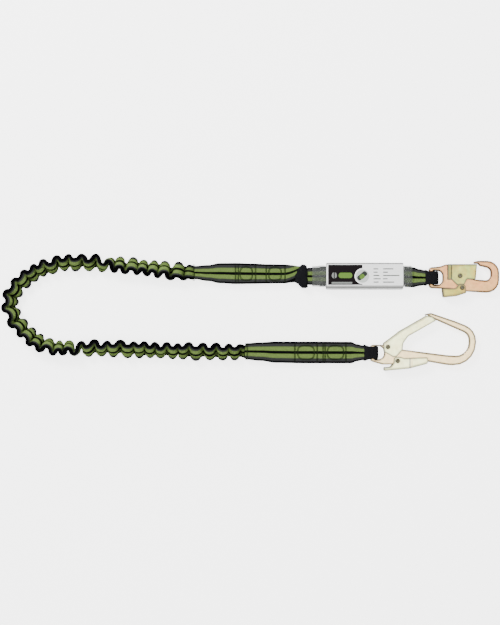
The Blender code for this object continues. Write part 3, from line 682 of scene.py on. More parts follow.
def mesh_object(name, vertices, faces, material, weave=None, sharp=50):
    """A smooth-shaded mesh object, but at edges sharper than an angle in degrees.

    weave is a (u, v) for each vertex.
    """
    mesh = bpy.data.meshes.new(name)
    mesh.from_pydata([tuple(v) for v in vertices], [], faces)
    if weave is not None:
        layer = mesh.uv_layers.new(name="weave")
        for loop in mesh.loops:
            layer.data[loop.index].uv = weave[loop.vertex_index]
    mesh.materials.append(material)
    mesh.update()
    mesh.shade_smooth()
    if sharp:
        mesh.set_sharp_from_angle(angle=math.radians(sharp))
    made = bpy.data.objects.new(name, mesh)
    bpy.context.scene.collection.objects.link(made)
    return made


def show(piece, body, slot, *nodes):
    """The piece moves with a body and stands for these CAD nodes, which it hides; slot is not used."""
    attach(piece, body)
    if nodes:
        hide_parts(*nodes)
    return piece


def ring_quads(rings, size, start=0):
    """Quads between rings of points."""
    quads = []
    for ring in range(rings - 1):
        for index in range(size):
            here = start + ring * size + index
            beside = start + ring * size + (index + 1) % size
            quads.append((here, beside, beside + size, here + size))
    return quads


def ring_faces(rings, size, start=0):
    """Quads between rings of points, and a cap at each end."""
    last = start + (rings - 1) * size
    caps = [tuple(start + j for j in reversed(range(size))), tuple(last + j for j in range(size))]
    return ring_quads(rings, size, start) + caps


def walked_along(line):
    """Distance along a line of points at each of them."""
    steps = np.linalg.norm(np.diff(line, axis=0), axis=1)
    return np.concatenate([[0.0], np.cumsum(steps)])


def on_circle(centre, radius, angle):
    return centre[0] + radius * math.cos(angle), centre[1] + radius * math.sin(angle)


def powered(value, power):
    """A power of a value's size, with the value's sign."""
    return math.copysign(abs(value) ** power, value)


def flat_section(points, squareness):
    """Unit section of a flattened tube: (across, through) from -1 to 1, and the share across it.

    It is an ellipse at a squareness of 1, and the squarer the smaller that is.
    """
    shape = []
    for index in range(points):
        angle = TAU * index / points
        across = powered(math.cos(angle), squareness)
        through = powered(math.sin(angle), squareness)
        shape.append((across, through, 0.5 - 0.5 * across))
    return shape


def swept_strip(
    name, centres, widths, normals, halves, thicknesses, material, press=None, squareness=0.6, slides=None,
):
    """Flattened tube along centres.

    press(ring, across) is how far stitching presses its outer face in, and slides how far the stripes
    have moved across it at each ring.
    """
    section = flat_section(SECTION_POINTS, squareness)
    vertices, weave = [], []
    travelled = 0.0
    for index, centre in enumerate(centres):
        if index:
            travelled += (centre - centres[index - 1]).length
        for across, through, share in section:
            sunk = press(index, across) if press and through > 0 else 0.0
            lift = thicknesses[index] * through - sunk * min(1.0, through * 2)
            vertices.append(centre + widths[index] * (halves[index] * across) + normals[index] * lift)
            weave.append((share + (slides[index] if slides else 0.0), travelled / WEB_WIDTH))
    return mesh_object(name, vertices, ring_faces(len(centres), len(section)), material, weave)


# ---------------------------------------------------------------- camera, floor and light


def camera():
    data = bpy.data.cameras.new("camera")
    data.lens = LENS_MM
    data.sensor_width = SENSOR_MM
    data.clip_end = CLIP_END
    made = bpy.data.objects.new("camera", data)
    made.location = (*VIEW_CENTRE, VIEW_HEIGHT)
    bpy.context.scene.collection.objects.link(made)
    bpy.context.scene.camera = made


def floor():
    made, _, shader = new_material("pale_floor", (0.9, 0.9, 0.9), 0.6)
    shader.inputs["Emission Color"].default_value = (1.0, 1.0, 1.0, 1.0)
    shader.inputs["Emission Strength"].default_value = FLOOR_GLOW
    half = FLOOR_SIZE / 2
    corners = [(-half, -half, 0.0), (half, -half, 0.0), (half, half, 0.0), (-half, half, 0.0)]
    mesh_object("floor", corners, [(0, 1, 2, 3)], made)


def area_light(name, place, size, power):
    data = bpy.data.lights.new(name, "AREA")
    data.shape = "SQUARE"
    data.size = size
    data.energy = power
    made = bpy.data.objects.new(name, data)
    made.location = place
    made.rotation_mode = "QUATERNION"
    made.rotation_quaternion = (-Vector(place)).to_track_quat("-Z", "Y")
    bpy.context.scene.collection.objects.link(made)


def lighting():
    """A large soft source overhead that falls off to a dim horizon, and a key light from the upper left."""
    area_light("key_light", KEY_LIGHT_PLACE, KEY_LIGHT_SIZE, KEY_LIGHT_POWER)
    world = bpy.data.worlds.new("studio")
    world.use_nodes = True
    tree = world.node_tree
    direction = node(tree, "ShaderNodeTexCoord")
    parts = node(tree, "ShaderNodeSeparateXYZ")
    tree.links.new(direction.outputs["Generated"], parts.inputs["Vector"])
    sky = ramp(tree, parts.outputs["Z"], SKY)
    tree.links.new(sky, tree.nodes["Background"].inputs["Color"])
    bpy.context.scene.world = world


# ---------------------------------------------------------------- ruffled elastic webbing


def dense_route():
    """Close points on a smooth curve through the route's own points, and their distance along it."""
    padded = np.array([ELASTIC_ROUTE[0], *ELASTIC_ROUTE, ELASTIC_ROUTE[-1]])
    t = np.linspace(0.0, 1.0, ROUTE_SHARES, endpoint=False)[:, None]
    spans = []
    for a, b, c, d in zip(padded, padded[1:], padded[2:], padded[3:]):
        bend = (2 * a - 5 * b + 4 * c - d) * t**2 + (3 * b - a - 3 * c + d) * t**3
        spans.append(0.5 * (2 * b + (c - a) * t + bend))
    line = np.concatenate([*spans, padded[-1:]])
    return line, walked_along(line)


def at_distance(values, walked, distance):
    return np.stack([np.interp(distance, walked, column) for column in values.T], axis=1)


def wobble(count, seed):
    """Slow even variation between -1 and 1, the same each run."""
    waves = ((1.93, 1.0), (3.11, 2.3), (0.71, 5.1))
    return sum(np.sin(count * pace + shift * seed) for pace, shift in waves) / len(waves)


def smooth_step(share):
    return share * share * (3 - 2 * share)


def zigzag(length):
    """The webbing's own folds: distance along the route, reach to its side, direction and share."""
    count = np.linspace(0.0, 2.0 * RUFFLE_COUNT, RUFFLE_COUNT * RUFFLE_STEPS + 1)
    share = count / count[-1]
    lie = np.array(RUFFLE_LIE)
    lean = np.radians(np.interp(share, lie[:, 0], lie[:, 1])) * (1.0 + LEAN_WOBBLE * wobble(count, 1.0))
    end_fade = np.clip(np.minimum(share, 1.0 - share) * length / RUFFLE_FADE, 0.0, 1.0)
    lean *= RUFFLE_END_LEAN + (1.0 - RUFFLE_END_LEAN) * end_fade
    # Mean advance of a fold that swings by the lean: the start of Bessel's series.
    advance = 1.0 - lean**2 / 4 + lean**4 / 64 - lean**6 / 2304
    size = (1.0 + SIZE_WOBBLE * wobble(count * 0.5, 4.0)) / advance
    angle = lean * np.cos(math.pi * count)
    along = np.concatenate([[0.0], np.cumsum(size[1:] * np.cos(angle[1:]))])
    aside = np.concatenate([[0.0], np.cumsum(size[1:] * np.sin(angle[1:]))])
    scale = length / along[-1]
    crossings = np.arange(0, len(count), RUFFLE_STEPS // 2)
    aside -= np.interp(count, count[crossings], aside[crossings])
    return along * scale, aside * scale, angle, share


def ruffle_frames():
    """Centre, width direction and outward normal of the ruffled webbing at each step."""
    line, walked = dense_route()
    length = walked[-1]
    along, aside, angle, share = zigzag(length)
    here = at_distance(line, walked, along)
    ahead = at_distance(line, walked, np.clip(along + TANGENT_REACH, 0, length))
    behind = at_distance(line, walked, np.clip(along - TANGENT_REACH, 0, length))
    tangent = ahead - behind
    tangent /= np.linalg.norm(tangent, axis=1)[:, None]
    flat = np.zeros(len(here))
    forward = np.column_stack([tangent, flat])
    inward = np.column_stack([-tangent[:, 1], tangent[:, 0], flat])
    lie = np.array(RUFFLE_LIE)
    roll = np.radians(np.interp(share, lie[:, 0], lie[:, 2]) + ROLL_WOBBLE * wobble(share * 60.0, 2.0))
    up = np.array([0.0, 0.0, 1.0])
    width = inward * np.cos(roll)[:, None] + up * np.sin(roll)[:, None]
    lifted = -inward * np.sin(roll)[:, None] + up * np.cos(roll)[:, None]
    low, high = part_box("elastic_webbing")
    height = np.full(len(here), (low.z + high.z) / 2)
    for end, piece in ((0.0, "upper_end_webbing"), (length, "lower_end_webbing")):
        joined = sum(corner.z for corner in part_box(piece)) / 2
        near = np.clip(1.0 - np.abs(along - end) / RUFFLE_JOINS_OVER, 0.0, 1.0)
        height += (joined - height) * smooth_step(near)
    centre = np.column_stack([here, height]) + lifted * aside[:, None]
    normal = lifted * np.cos(angle)[:, None] - forward * np.sin(angle)[:, None]
    return centre, width, normal, share, length


def ruffled_tube(name, half_width, half_thickness, sides, material, ends):
    """Flattened tube along the ruffles; at its ends it narrows to a share of its width."""
    centre, width, normal, share, length = ruffle_frames()
    section = flat_section(sides, squareness=1.0)
    end_fade = np.clip(np.minimum(share, 1.0 - share) * length / RUFFLE_NARROWS_OVER, 0.0, 1.0)
    rings = len(centre)
    travelled = walked_along(centre)
    count = share * 2.0 * RUFFLE_COUNT
    half = half_width * (ends + (1.0 - ends) * end_fade) * (1.0 + WIDTH_WOBBLE * wobble(count, 3.0))
    vertices, weave = [], []
    for i in range(rings):
        for across, through, side in section:
            crease = 1.0
            for depth, waves, turn in CREASES:
                crease += depth * math.sin(waves * across + turn * count[i])
            point = centre[i] + width[i] * half[i] * across + normal[i] * half_thickness * through * crease
            point[2] = max(point[2], FLOOR_GAP)
            vertices.append(point)
            weave.append((side, travelled[i] / WEB_WIDTH))
    piece = mesh_object(name, vertices, ring_faces(rings, len(section)), material, weave, sharp=None)
    # Painted shade in the folds: darker the nearer a point lies to the floor.
    heights = np.array([vertex[2] for vertex in vertices])
    shade = piece.data.attributes.new("fold_shade", "FLOAT", "POINT")
    lit = (heights - FOLD_LIGHT_FROM) / FOLD_LIGHT_OVER
    shade.data.foreach_set("value", np.clip(1.0 - lit, 0.0, 1.0))
    return piece


def elastic_stretch():
    webbing = ruffled_tube(
        "ruffled_webbing", RUFFLE_HALF_WIDTH, RUFFLE_HALF_THICKNESS, RUFFLE_SIDES, RUFFLED_WEBBING,
        ends=0.85,
    )
    strand = ruffled_tube(
        "elastic_strand", STRAND_HALF_WIDTH, STRAND_HALF_THICKNESS, STRAND_SIDES, RUBBER, ends=0.9,
    )
    show(webbing, "lanyard", "green_webbing", "elastic_webbing")
    show(strand, "lanyard", "elastic_rubber", "elastic_core")


# ---------------------------------------------------------------- flat webbing, loops and stitching


def eased(stations, step):
    """Values of stations (distance, ...) at even steps, eased from each station to the next."""
    table = np.array(stations, float)
    count = max(2, round((table[-1, 0] - table[0, 0]) / step))
    filled = []
    for distance in np.linspace(table[0, 0], table[-1, 0], count + 1):
        index = min(len(table) - 2, max(0, np.searchsorted(table[:, 0], distance, side="right") - 1))
        left, right = table[index], table[index + 1]
        share = (distance - left[0]) / (right[0] - left[0])
        smooth = 0.5 - 0.5 * math.cos(math.pi * share)
        filled.append((distance, *(left[1:] + (right[1:] - left[1:]) * smooth)))
    return filled


def hairpin(stations, radius, centre_z, facing=1.0, back_to=None):
    """Loop of webbing: out along its upper leg, round its fold, back along the lower leg.

    Stations are (x, middle y, half width, lift, roll in degrees), in metres and in the order that the
    upper leg runs.  Gives centres, width directions, outward normals and half widths.
    """
    upper = eased([(facing * s[0], *s[1:]) for s in stations], STRIP_STEP)
    rows = []
    for x, y, half, lift, roll in upper:
        rows.append((facing * x, y, centre_z + lift, half, math.radians(roll), 0.0))
    fold_x, fold_y, fold_half = facing * upper[-1][0], upper[-1][1], upper[-1][2]
    for step in range(1, FOLD_STEPS):
        angle = math.pi * step / FOLD_STEPS
        x, z = fold_x + facing * radius * math.sin(angle), centre_z + radius * math.cos(angle)
        rows.append((x, fold_y, z, fold_half, 0.0, angle))
    for x, y, half, lift, roll in reversed(upper):
        if back_to is None or x >= facing * back_to:
            rows.append((facing * x, y, centre_z - lift, half, 0.0, math.pi))
    centres, widths, normals, halves = [], [], [], []
    for x, y, z, half, roll, turn in rows:
        width = Vector((0.0, math.cos(roll), math.sin(roll)))
        level = Vector((0.0, -math.sin(roll), math.cos(roll)))
        centres.append(Vector((x, y, z)))
        widths.append(width)
        normals.append(level * math.cos(turn) + Vector((facing * math.sin(turn), 0.0, 0.0)))
        halves.append(half)
    return centres, widths, normals, halves


def placed(stations, start_x):
    """Stations along a leg from where it starts; where their lift is 0 it lies on the other leg."""
    return [(start_x + along, y, half, rise or LEG_LIFT, roll) for along, y, half, rise, roll in stations]


def fold_radius(low, high):
    """Radius of the fold of a loop that fills the height of a box."""
    return (high.z - low.z) / 2 - WEB_HALF_THICKNESS


def webbing_loop(name, rows, press=None, slides=None):
    centres, widths, normals, halves = rows
    thick = [WEB_HALF_THICKNESS] * len(centres)
    return swept_strip(name, centres, widths, normals, halves, thick, GREEN_WEBBING, press, slides=slides)


def sewn_seams(start, cross_lines, ovals, half_height):
    """Rows of stitching as lists of (x, offset from the middle): bars across, and ovals."""
    seams = []
    for distance in cross_lines:
        for row in (-SEAM_ROW_GAP / 2, SEAM_ROW_GAP / 2):
            seams.append([(start + distance + row, half_height * side) for side in (-1.0, 1.0)])
    for middle, half_length in ovals:
        for inset in (0.0, SEAM_ROW_GAP):
            points = []
            for step in range(OVAL_STEPS + 1):
                angle = TAU * step / OVAL_STEPS
                along = (half_length - inset) * powered(math.cos(angle), OVAL_SQUARENESS)
                offset = (half_height - OVAL_EDGE - inset) * powered(math.sin(angle), OVAL_SQUARENESS)
                points.append((start + middle + along, offset))
            seams.append(points)
    return seams


def seam_press(rows, seams):
    """How far the stitching presses the webbing's upper face in, for swept_strip."""
    centres, _, _, halves = rows
    points = np.concatenate([np.array(evenly(seam, STITCH_PITCH / 2)) for seam in seams])

    def press(ring, across):
        if rows[2][ring].z < 0.5:
            return 0.0
        here = np.array((centres[ring].x, across * halves[ring]))
        nearest = np.min(np.sum((points - here) ** 2, axis=1))
        return SEAM_DEPTH * math.exp(-nearest / SEAM_SPREAD**2)

    return press


def evenly(points, pitch):
    """Points a pitch apart along a line of points."""
    line = np.array(points, float)
    walked = walked_along(line)
    count = max(1, round(walked[-1] / pitch))
    return [tuple(p) for p in at_distance(line, walked, np.linspace(0.0, walked[-1], count + 1))]


def round_bar(points, radii, sides, start):
    """Vertices and faces of a closed round bar along points that lie roughly level."""
    vertices = []
    for index, point in enumerate(points):
        ahead = points[min(index + 1, len(points) - 1)] - points[max(index - 1, 0)]
        side = ahead.cross(Vector((0.0, 0.0, 1.0))).normalized()
        up = side.cross(ahead).normalized()
        for step in range(sides):
            angle = TAU * step / sides
            vertices.append(point + (side * math.cos(angle) + up * math.sin(angle)) * radii[index])
    return vertices, ring_faces(len(points), sides, start)


def stitching(name, rows, seams):
    """Every stitch is a short arched bar of thread that dips into the webbing at both ends."""
    centres, widths, normals, _ = rows
    upper = [i for i, normal in enumerate(normals) if normal.z > 0.5]
    xs = np.array([centres[i].x for i in upper])
    order = np.argsort(xs)
    vertices, faces = [], []
    for seam in seams:
        stops = evenly(seam, STITCH_PITCH)
        for first, second in zip(stops, stops[1:]):
            bar = []
            for share, lift in STITCH_ARCH:
                x = first[0] + (second[0] - first[0]) * share
                offset = first[1] + (second[1] - first[1]) * share
                ring = upper[order[min(len(order) - 1, np.searchsorted(xs[order], x))]]
                level = normals[ring] * (WEB_HALF_THICKNESS - SEAM_DEPTH + lift)
                surface = centres[ring] + widths[ring] * offset + level
                bar.append(Vector((x, surface.y, surface.z)))
            made, sides = round_bar(bar, STITCH_RADII, STITCH_SIDES, len(vertices))
            vertices += made
            faces += sides
    return mesh_object(name, vertices, faces, THREAD)


def upper_sewn_end():
    """Flat end of the elastic strand, stitched, that turns up into the choked link."""
    low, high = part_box("upper_end_webbing")
    radius = fold_radius(low, high)
    stations = placed(UPPER_END, low.x)
    stations.append((high.x - radius - WEB_HALF_THICKNESS, *UPPER_FOLD, radius, 0.0))
    rows = hairpin(stations, radius, (low.z + high.z) / 2, back_to=low.x + UPPER_TAIL)
    seams = sewn_seams(low.x, UPPER_SEAMS, UPPER_OVALS, UPPER_SEAM_HALF)
    slides = []
    for centre in rows[0]:
        share = min(1.0, max(0.0, 1.0 + (centre.x - stations[-1][0]) / SLIDE_LENGTH))
        slides.append(SLIDE_SHARE * share * share)
    webbing = webbing_loop("upper_sewn_end", rows, seam_press(rows, seams), slides)
    show(webbing, "lanyard", "green_webbing", "upper_end_webbing")
    show(stitching("upper_end_stitching", rows, seams), "lanyard", "green_webbing")


def lower_sewn_end():
    """Flat end of the elastic strand, stitched, with the loop that holds the scaffold hook."""
    low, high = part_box("lower_end_webbing")
    eye = JOINT_AT["scaffold_hook_swing"]
    radius = fold_radius(low, high)
    stations = placed(LOWER_END, low.x)
    stations.append((high.x - radius - WEB_HALF_THICKNESS, eye.y, stations[-1][2], radius, 0.0))
    rows = hairpin(stations, radius, eye.z)
    seams = sewn_seams(low.x, LOWER_SEAMS, LOWER_OVALS, LOWER_SEAM_HALF)
    webbing = webbing_loop("lower_sewn_end", rows, seam_press(rows, seams))
    show(webbing, "lanyard", "green_webbing", "lower_end_webbing")
    show(stitching("lower_end_stitching", rows, seams), "lanyard", "green_webbing")
    wear_sleeve("scaffold_wear_sleeve", rows, "lower_wear_sleeve", *SCAFFOLD_SLEEVE)


def absorber_link_loop():
    """The absorber's own webbing where it goes into the choked link."""
    low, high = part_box("absorber_link_loop")
    radius = fold_radius(low, high)
    middle_y = (low.y + high.y) / 2
    hidden, bend, fold = LINK_LOOP_HALVES
    stations = [
        (high.x + HIDDEN_TAIL, middle_y, hidden, LEG_LIFT, 0.0),
        (high.x - LINK_LOOP_BEND, middle_y, bend, LEG_LIFT, 0.0),
        (low.x + radius + WEB_HALF_THICKNESS, middle_y, fold, radius, 0.0),
    ]
    rows = hairpin(stations, radius, (low.z + high.z) / 2, facing=-1.0)
    show(webbing_loop("absorber_near_loop", rows), "lanyard", "green_webbing", "absorber_link_loop")


def absorber_hook_loop():
    """The absorber's loop round the snap hook's eye."""
    low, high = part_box("absorber_hook_loop")
    eye = JOINT_AT["snap_hook_swing"]
    radius = fold_radius(low, high)
    stations = placed(HOOK_LOOP, eye.x)
    fold_x = high.x + LOOP_SLACK - radius - WEB_HALF_THICKNESS
    stations.append((fold_x, eye.y, stations[-1][2], radius, 0.0))
    rows = hairpin(stations, radius, eye.z)
    show(webbing_loop("absorber_hook_webbing", rows), "lanyard", "green_webbing", "absorber_hook_loop")
    wear_sleeve("snap_wear_sleeve", rows, "hook_wear_sleeve", *SNAP_SLEEVE)


def wear_sleeve(name, rows, cad_node, half_mouth, half_fold, taper, lead):
    """Tubular black sleeve over the fold of a loop, with fine ribs along it; it narrows to the eye."""
    low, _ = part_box(cad_node)
    kept = [i for i, centre in enumerate(rows[0]) if centre.x >= low.x - lead]
    centres, widths, normals, _ = ([row[i] for i in kept] for row in rows)
    travelled = walked_along(np.array(centres))
    ridges = 0.5 - 0.5 * np.cos(travelled / SLEEVE_RIB_PITCH * TAU)
    thickness = [WEB_HALF_THICKNESS + SLEEVE_WALL + SLEEVE_RIB_HEIGHT * ridge for ridge in ridges]
    reach = np.array([min(1.0, (centre.x - centres[0].x) / taper) for centre in centres])
    wide = half_mouth + (half_fold - half_mouth) * reach + SLEEVE_RIB_HEIGHT * ridges
    piece = swept_strip(name, centres, widths, normals, wide, thickness, BLACK_SLEEVE, squareness=0.5)
    show(piece, "lanyard", "black_sleeve", cad_node)


def choked_link():
    """The knot where two webbing loops are choked through each other, under its pleated black cover."""
    low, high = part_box("link_wear_sleeve")
    low.y -= LINK_REACH
    high.y += LINK_REACH
    middle = (low + high) / 2
    size = high - low
    section = flat_section(LINK_SIDES, squareness=0.8)
    rows = eased(LINK_SHAPE, LINK_STEP)
    vertices, weave = [], []
    for share, x_shift, half_long, half_tall in rows:
        for across, through, side in section:
            wave = math.cos(share * TAU * LINK_PLEATS + LINK_PLEAT_SLANT * across)
            pleat = 1.0 - LINK_PLEAT_DEPTH * (0.5 + 0.5 * wave)
            x = middle.x + size.x * (x_shift + half_long * across * pleat)
            z = middle.z + size.z * half_tall * through * pleat
            vertices.append(Vector((x, low.y + size.y * share, z)))
            weave.append((side, share * size.y / WEB_WIDTH))
    faces = ring_faces(len(rows), len(section))
    piece = mesh_object("choked_link_cover", vertices, faces, BLACK_SLEEVE, weave)
    show(piece, "lanyard", "black_sleeve", "link_wear_sleeve")


# ---------------------------------------------------------------- absorber


def folded_tear_webbing():
    """Tear webbing packed in flat folds."""
    low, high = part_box("tear_webbing")
    middle_y = (low.y + high.y) / 2
    pitch = (high.z - low.z - 2 * WEB_HALF_THICKNESS) / (TEAR_LAYERS - 1)
    left, right = low.x + pitch / 2 + WEB_HALF_THICKNESS, high.x - pitch / 2 - WEB_HALF_THICKNESS
    centres, normals = [], []
    for layer in range(TEAR_LAYERS):
        z = low.z + WEB_HALF_THICKNESS + pitch * layer
        outward = 1.0 if layer % 2 == 0 else -1.0
        start, end = (left, right) if outward > 0 else (right, left)
        for x in np.linspace(start, end, TEAR_STEPS):
            centres.append(Vector((x, middle_y, z)))
            normals.append(Vector((0.0, 0.0, outward)))
        if layer < TEAR_LAYERS - 1:
            for angle in np.linspace(0.0, math.pi, TEAR_TURN_STEPS)[1:-1]:
                x = end + outward * pitch / 2 * math.sin(angle)
                centres.append(Vector((x, middle_y, z + pitch / 2 * (1 - math.cos(angle)))))
                normals.append(Vector((-outward * math.sin(angle), 0.0, outward * math.cos(angle))))
    count = len(centres)
    widths = [Vector((0.0, 1.0, 0.0))] * count
    halves = [(high.y - low.y) / 2] * count
    thick = [WEB_HALF_THICKNESS * TEAR_THINNING] * count
    piece = swept_strip("folded_tear_webbing", centres, widths, normals, halves, thick, GREEN_WEBBING)
    show(piece, "lanyard", "green_webbing", "tear_webbing")


def film_tube(name, low, high, stations, wall, squareness, material, ripple, lean=0.0):
    """Thin open tube along X.  Stations are (share of length, share of width, share of height).

    The film ripples inwards by a share of its size, and its sides lean in by a length at the bottom.
    """
    section = flat_section(FILM_SIDES, squareness)
    rows = eased(stations, FILM_STEP)
    middle = (low + high) / 2
    half = (high - low) / 2
    outside, inside = [], []
    for share, wide, tall in rows:
        x = low.x + (high.x - low.x) * share
        for across, through, side in section:
            waves = math.prod(math.sin(along * share + around * side) for along, around in FILM_WAVES)
            size = 1.0 - ripple * (0.5 + 0.5 * waves)
            for store, trim in ((outside, 0.0), (inside, wall)):
                y = middle.y + ((half.y - lean) * wide * size - trim) * across + lean * through
                z = middle.z + (half.z * tall * size - trim) * through
                store.append(Vector((x, y, z)))
    sides, last = len(section), (len(rows) - 1) * len(section)
    offset = len(outside)
    quads = ring_quads(len(rows), sides)
    faces = quads + [tuple(offset + index for index in reversed(quad)) for quad in quads]
    for j in range(sides):
        k = (j + 1) % sides
        faces.append((k, j, offset + j, offset + k))
        faces.append((offset + last + k, offset + last + j, last + j, last + k))
    return mesh_object(name, outside + inside, faces, material)


def absorber_pack():
    folded_tear_webbing()
    low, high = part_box("absorber_sleeve")
    low.x -= FILM_OVERHANG
    high.x += FILM_OVERHANG
    sleeve = film_tube(
        "shrink_sleeve", low, high, SLEEVE_SHAPE, FILM_WALL, FILM_SQUARENESS, CLEAR_FILM, FILM_RIPPLE,
    )
    show(sleeve, "lanyard", "clear_film", "absorber_sleeve")
    low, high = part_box("label_wrap")
    low.y -= WRAP_REACH
    high.y += WRAP_REACH
    wrap = film_tube(
        "label_wrap_film", low, high, WRAP_SHAPE, WRAP_WALL, WRAP_SQUARENESS, WRAP_FILM, WRAP_RIPPLE,
        lean=WRAP_LEAN,
    )
    show(wrap, "lanyard", "wrap_film", "label_wrap")


# ---------------------------------------------------------------- label: plain shapes only


def rounded_outline(x_low, y_low, x_high, y_high, radius):
    """Outline of a rectangle with round corners, anticlockwise."""
    points = []
    corners = ((x_high, y_low, -90), (x_high, y_high, 0), (x_low, y_high, 90), (x_low, y_low, 180))
    for x, y, start in corners:
        centre_x = x - math.copysign(radius, x - (x_low + x_high) / 2)
        centre_y = y - math.copysign(radius, y - (y_low + y_high) / 2)
        for step in range(CORNER_STEPS + 1):
            angle = math.radians(start + 90 * step / CORNER_STEPS)
            points.append(on_circle((centre_x, centre_y), radius, angle))
    return points


def disc_outline(centre, radius):
    return [on_circle(centre, radius, TAU * step / DISC_STEPS) for step in range(DISC_STEPS)]


def slanted_bar(centre, half_length, half_width, along, across):
    """Outline of a bar with round corners, turned by the inset's slant about a centre."""
    cosine, sine = math.cos(math.radians(INSET_SLANT)), math.sin(math.radians(INSET_SLANT))
    x_low, x_high = along - half_length, along + half_length
    y_low, y_high = across - half_width, across + half_width
    flat = rounded_outline(x_low, y_low, x_high, y_high, half_width * SLANTED_BAR_ROUNDNESS)
    return [(centre[0] + x * cosine - y * sine, centre[1] + x * sine + y * cosine) for x, y in flat]


def printed_layer(name, outlines, level, material, depth=INK):
    """Thin flat plates on the label, one for each outline."""
    vertices, faces = [], []
    top = LABEL_TOP + INK * (level + 1)
    for outline in outlines:
        faces += ring_faces(2, len(outline), len(vertices))
        vertices += [(x, y, top - depth) for x, y in outline] + [(x, y, top) for x, y in outline]
    piece = mesh_object(name, vertices, faces, material, sharp=30)
    return show(piece, "lanyard", "label_card")


def label():
    """Card under the film: a dark panel, a round inset and rows of plain bars in place of all print."""
    low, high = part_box("label_card")
    middle = (low.y + high.y) / 2
    left, bottom = low.x + CARD_LOW_REACH[0], low.y + CARD_LOW_REACH[1]
    right, top = high.x + CARD_HIGH_REACH[0], high.y + CARD_HIGH_REACH[1]
    depth = LABEL_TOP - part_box("label_wrap")[1].z
    outline = rounded_outline(left, bottom, right, top, CARD_CORNER)
    card = printed_layer("printed_card", [outline], -1, WHITE_PRINT, depth)
    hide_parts("label_card")
    panel_end = low.x + PANEL_LENGTH
    inner_left, inner_bottom, inner_top = left + PANEL_BORDER, bottom + PANEL_BORDER, top - PANEL_BORDER
    outline = rounded_outline(inner_left, inner_bottom, panel_end, inner_top, CARD_CORNER / 2)
    printed_layer("dark_panel", [outline], 0, BLACK_PRINT)
    bars = []
    for y, x_from, x_to, tall in PANEL_BARS:
        y += middle
        bars.append(rounded_outline(low.x + x_from, y, low.x + x_to, y + tall, tall / BAR_ROUNDNESS))
    printed_layer("panel_green_bar", bars[:1], 1, GREEN_PRINT)
    printed_layer("panel_pale_bars", bars[1:], 1, GREY_PRINT)
    centre = (panel_end, middle)
    printed_layer("inset_ring", [disc_outline(centre, INSET_RADIUS)], 1, WHITE_PRINT)
    printed_layer("inset_disc", [disc_outline(centre, INSET_RADIUS - INSET_RIM)], 2, PALE_PRINT)
    printed_layer("inset_dark_bar", [slanted_bar(centre, *INSET_DARK_BAR)], 3, DARK_PRINT)
    printed_layer("inset_green_bar", [slanted_bar(centre, *INSET_GREEN_BAR)], 4, GREEN_PRINT)
    rows = []
    half = ROW_HEIGHT / 2
    for index, lengths in enumerate(ROW_LENGTHS):
        y = middle + ROW_TOP - ROW_PITCH * index
        for column, length in zip(COLUMN_STARTS, lengths):
            x = low.x + column
            rows.append(rounded_outline(x, y - half, x + length, y + half, ROW_HEIGHT / BAR_ROUNDNESS))
    printed_layer("plain_rows", rows, 0, DARK_PRINT)


# ---------------------------------------------------------------- hooks


def cad_mesh(cad_node):
    """A CAD solid's mesh with its split corners joined."""
    solid = bmesh.new()
    solid.from_mesh(frame["nodes"][cad_node].data)
    bmesh.ops.remove_doubles(solid, verts=solid.verts, dist=1e-6)
    return solid


def outline_walls(solid, level):
    """Outline of a solid at a level: the ends of each piece of it, and their inward normals."""
    starts, ends, inward = [], [], []
    for face in solid.faces:
        if abs(face.normal.z) > 0.5:
            continue
        heights = [loop.vert.co.z for loop in face.loops]
        if min(heights) >= level or max(heights) <= level:
            continue
        crossing = []
        for loop in face.loops:
            a, b = loop.vert.co, loop.link_loop_next.vert.co
            if (a.z - level) * (b.z - level) < 0:
                crossing.append(a.lerp(b, (level - a.z) / (b.z - a.z)))
        if len(crossing) == 2:
            starts.append(crossing[0][:2])
            ends.append(crossing[1][:2])
            inward.append((-face.normal).xy.normalized()[:])
    return np.array(starts), np.array(ends), np.array(inward)


def nearest_segment(points, starts, ends):
    """Each point's offset and distance from the nearest of many segments, and which one that is."""
    along = ends - starts
    squares = np.maximum(np.sum(along**2, axis=1), 1e-16)
    gaps, distances, chosen = [], [], []
    for first in range(0, len(points), WALL_CHUNK):
        offset = points[first:first + WALL_CHUNK, None, :] - starts[None]
        share = np.clip(np.sum(offset * along[None], axis=2) / squares, 0.0, 1.0)
        gap = offset - share[..., None] * along[None]
        span = np.linalg.norm(gap, axis=2)
        best = np.argmin(span, axis=1)
        row = np.arange(len(best))
        gaps.append(gap[row, best])
        distances.append(span[row, best])
        chosen.append(best)
    return np.concatenate(gaps), np.concatenate(distances), np.concatenate(chosen)


def nearest_wall(points, walls):
    """Distance from each point to the nearest wall, and the direction that leads away from that wall."""
    starts, ends, inward = walls
    gap, distance, chosen = nearest_segment(points, starts, ends)
    straight = gap / np.maximum(distance, 1e-9)[:, None]
    on_wall = (distance < FORGING_VOXEL)[:, None]
    return distance, np.where(on_wall, inward[chosen], straight)


def painted_edge_shade(mesh, distances, reach):
    """The attribute that the zinc's painted edge shade follows: 1 at an edge, 0 at its reach."""
    overlay = np.clip(1.0 - np.asarray(distances) / reach, 0.0, 1.0) ** EDGE_FALL
    mesh.attributes.new("edge", "FLOAT", "POINT").data.foreach_set("value", overlay)


def placed_mesh(name, mesh, material):
    """An object for a mesh, smooth-shaded and in one material."""
    mesh.update()
    mesh.shade_smooth()
    mesh.materials.clear()
    mesh.materials.append(material)
    piece = bpy.data.objects.new(name, mesh)
    bpy.context.scene.collection.objects.link(piece)
    return piece


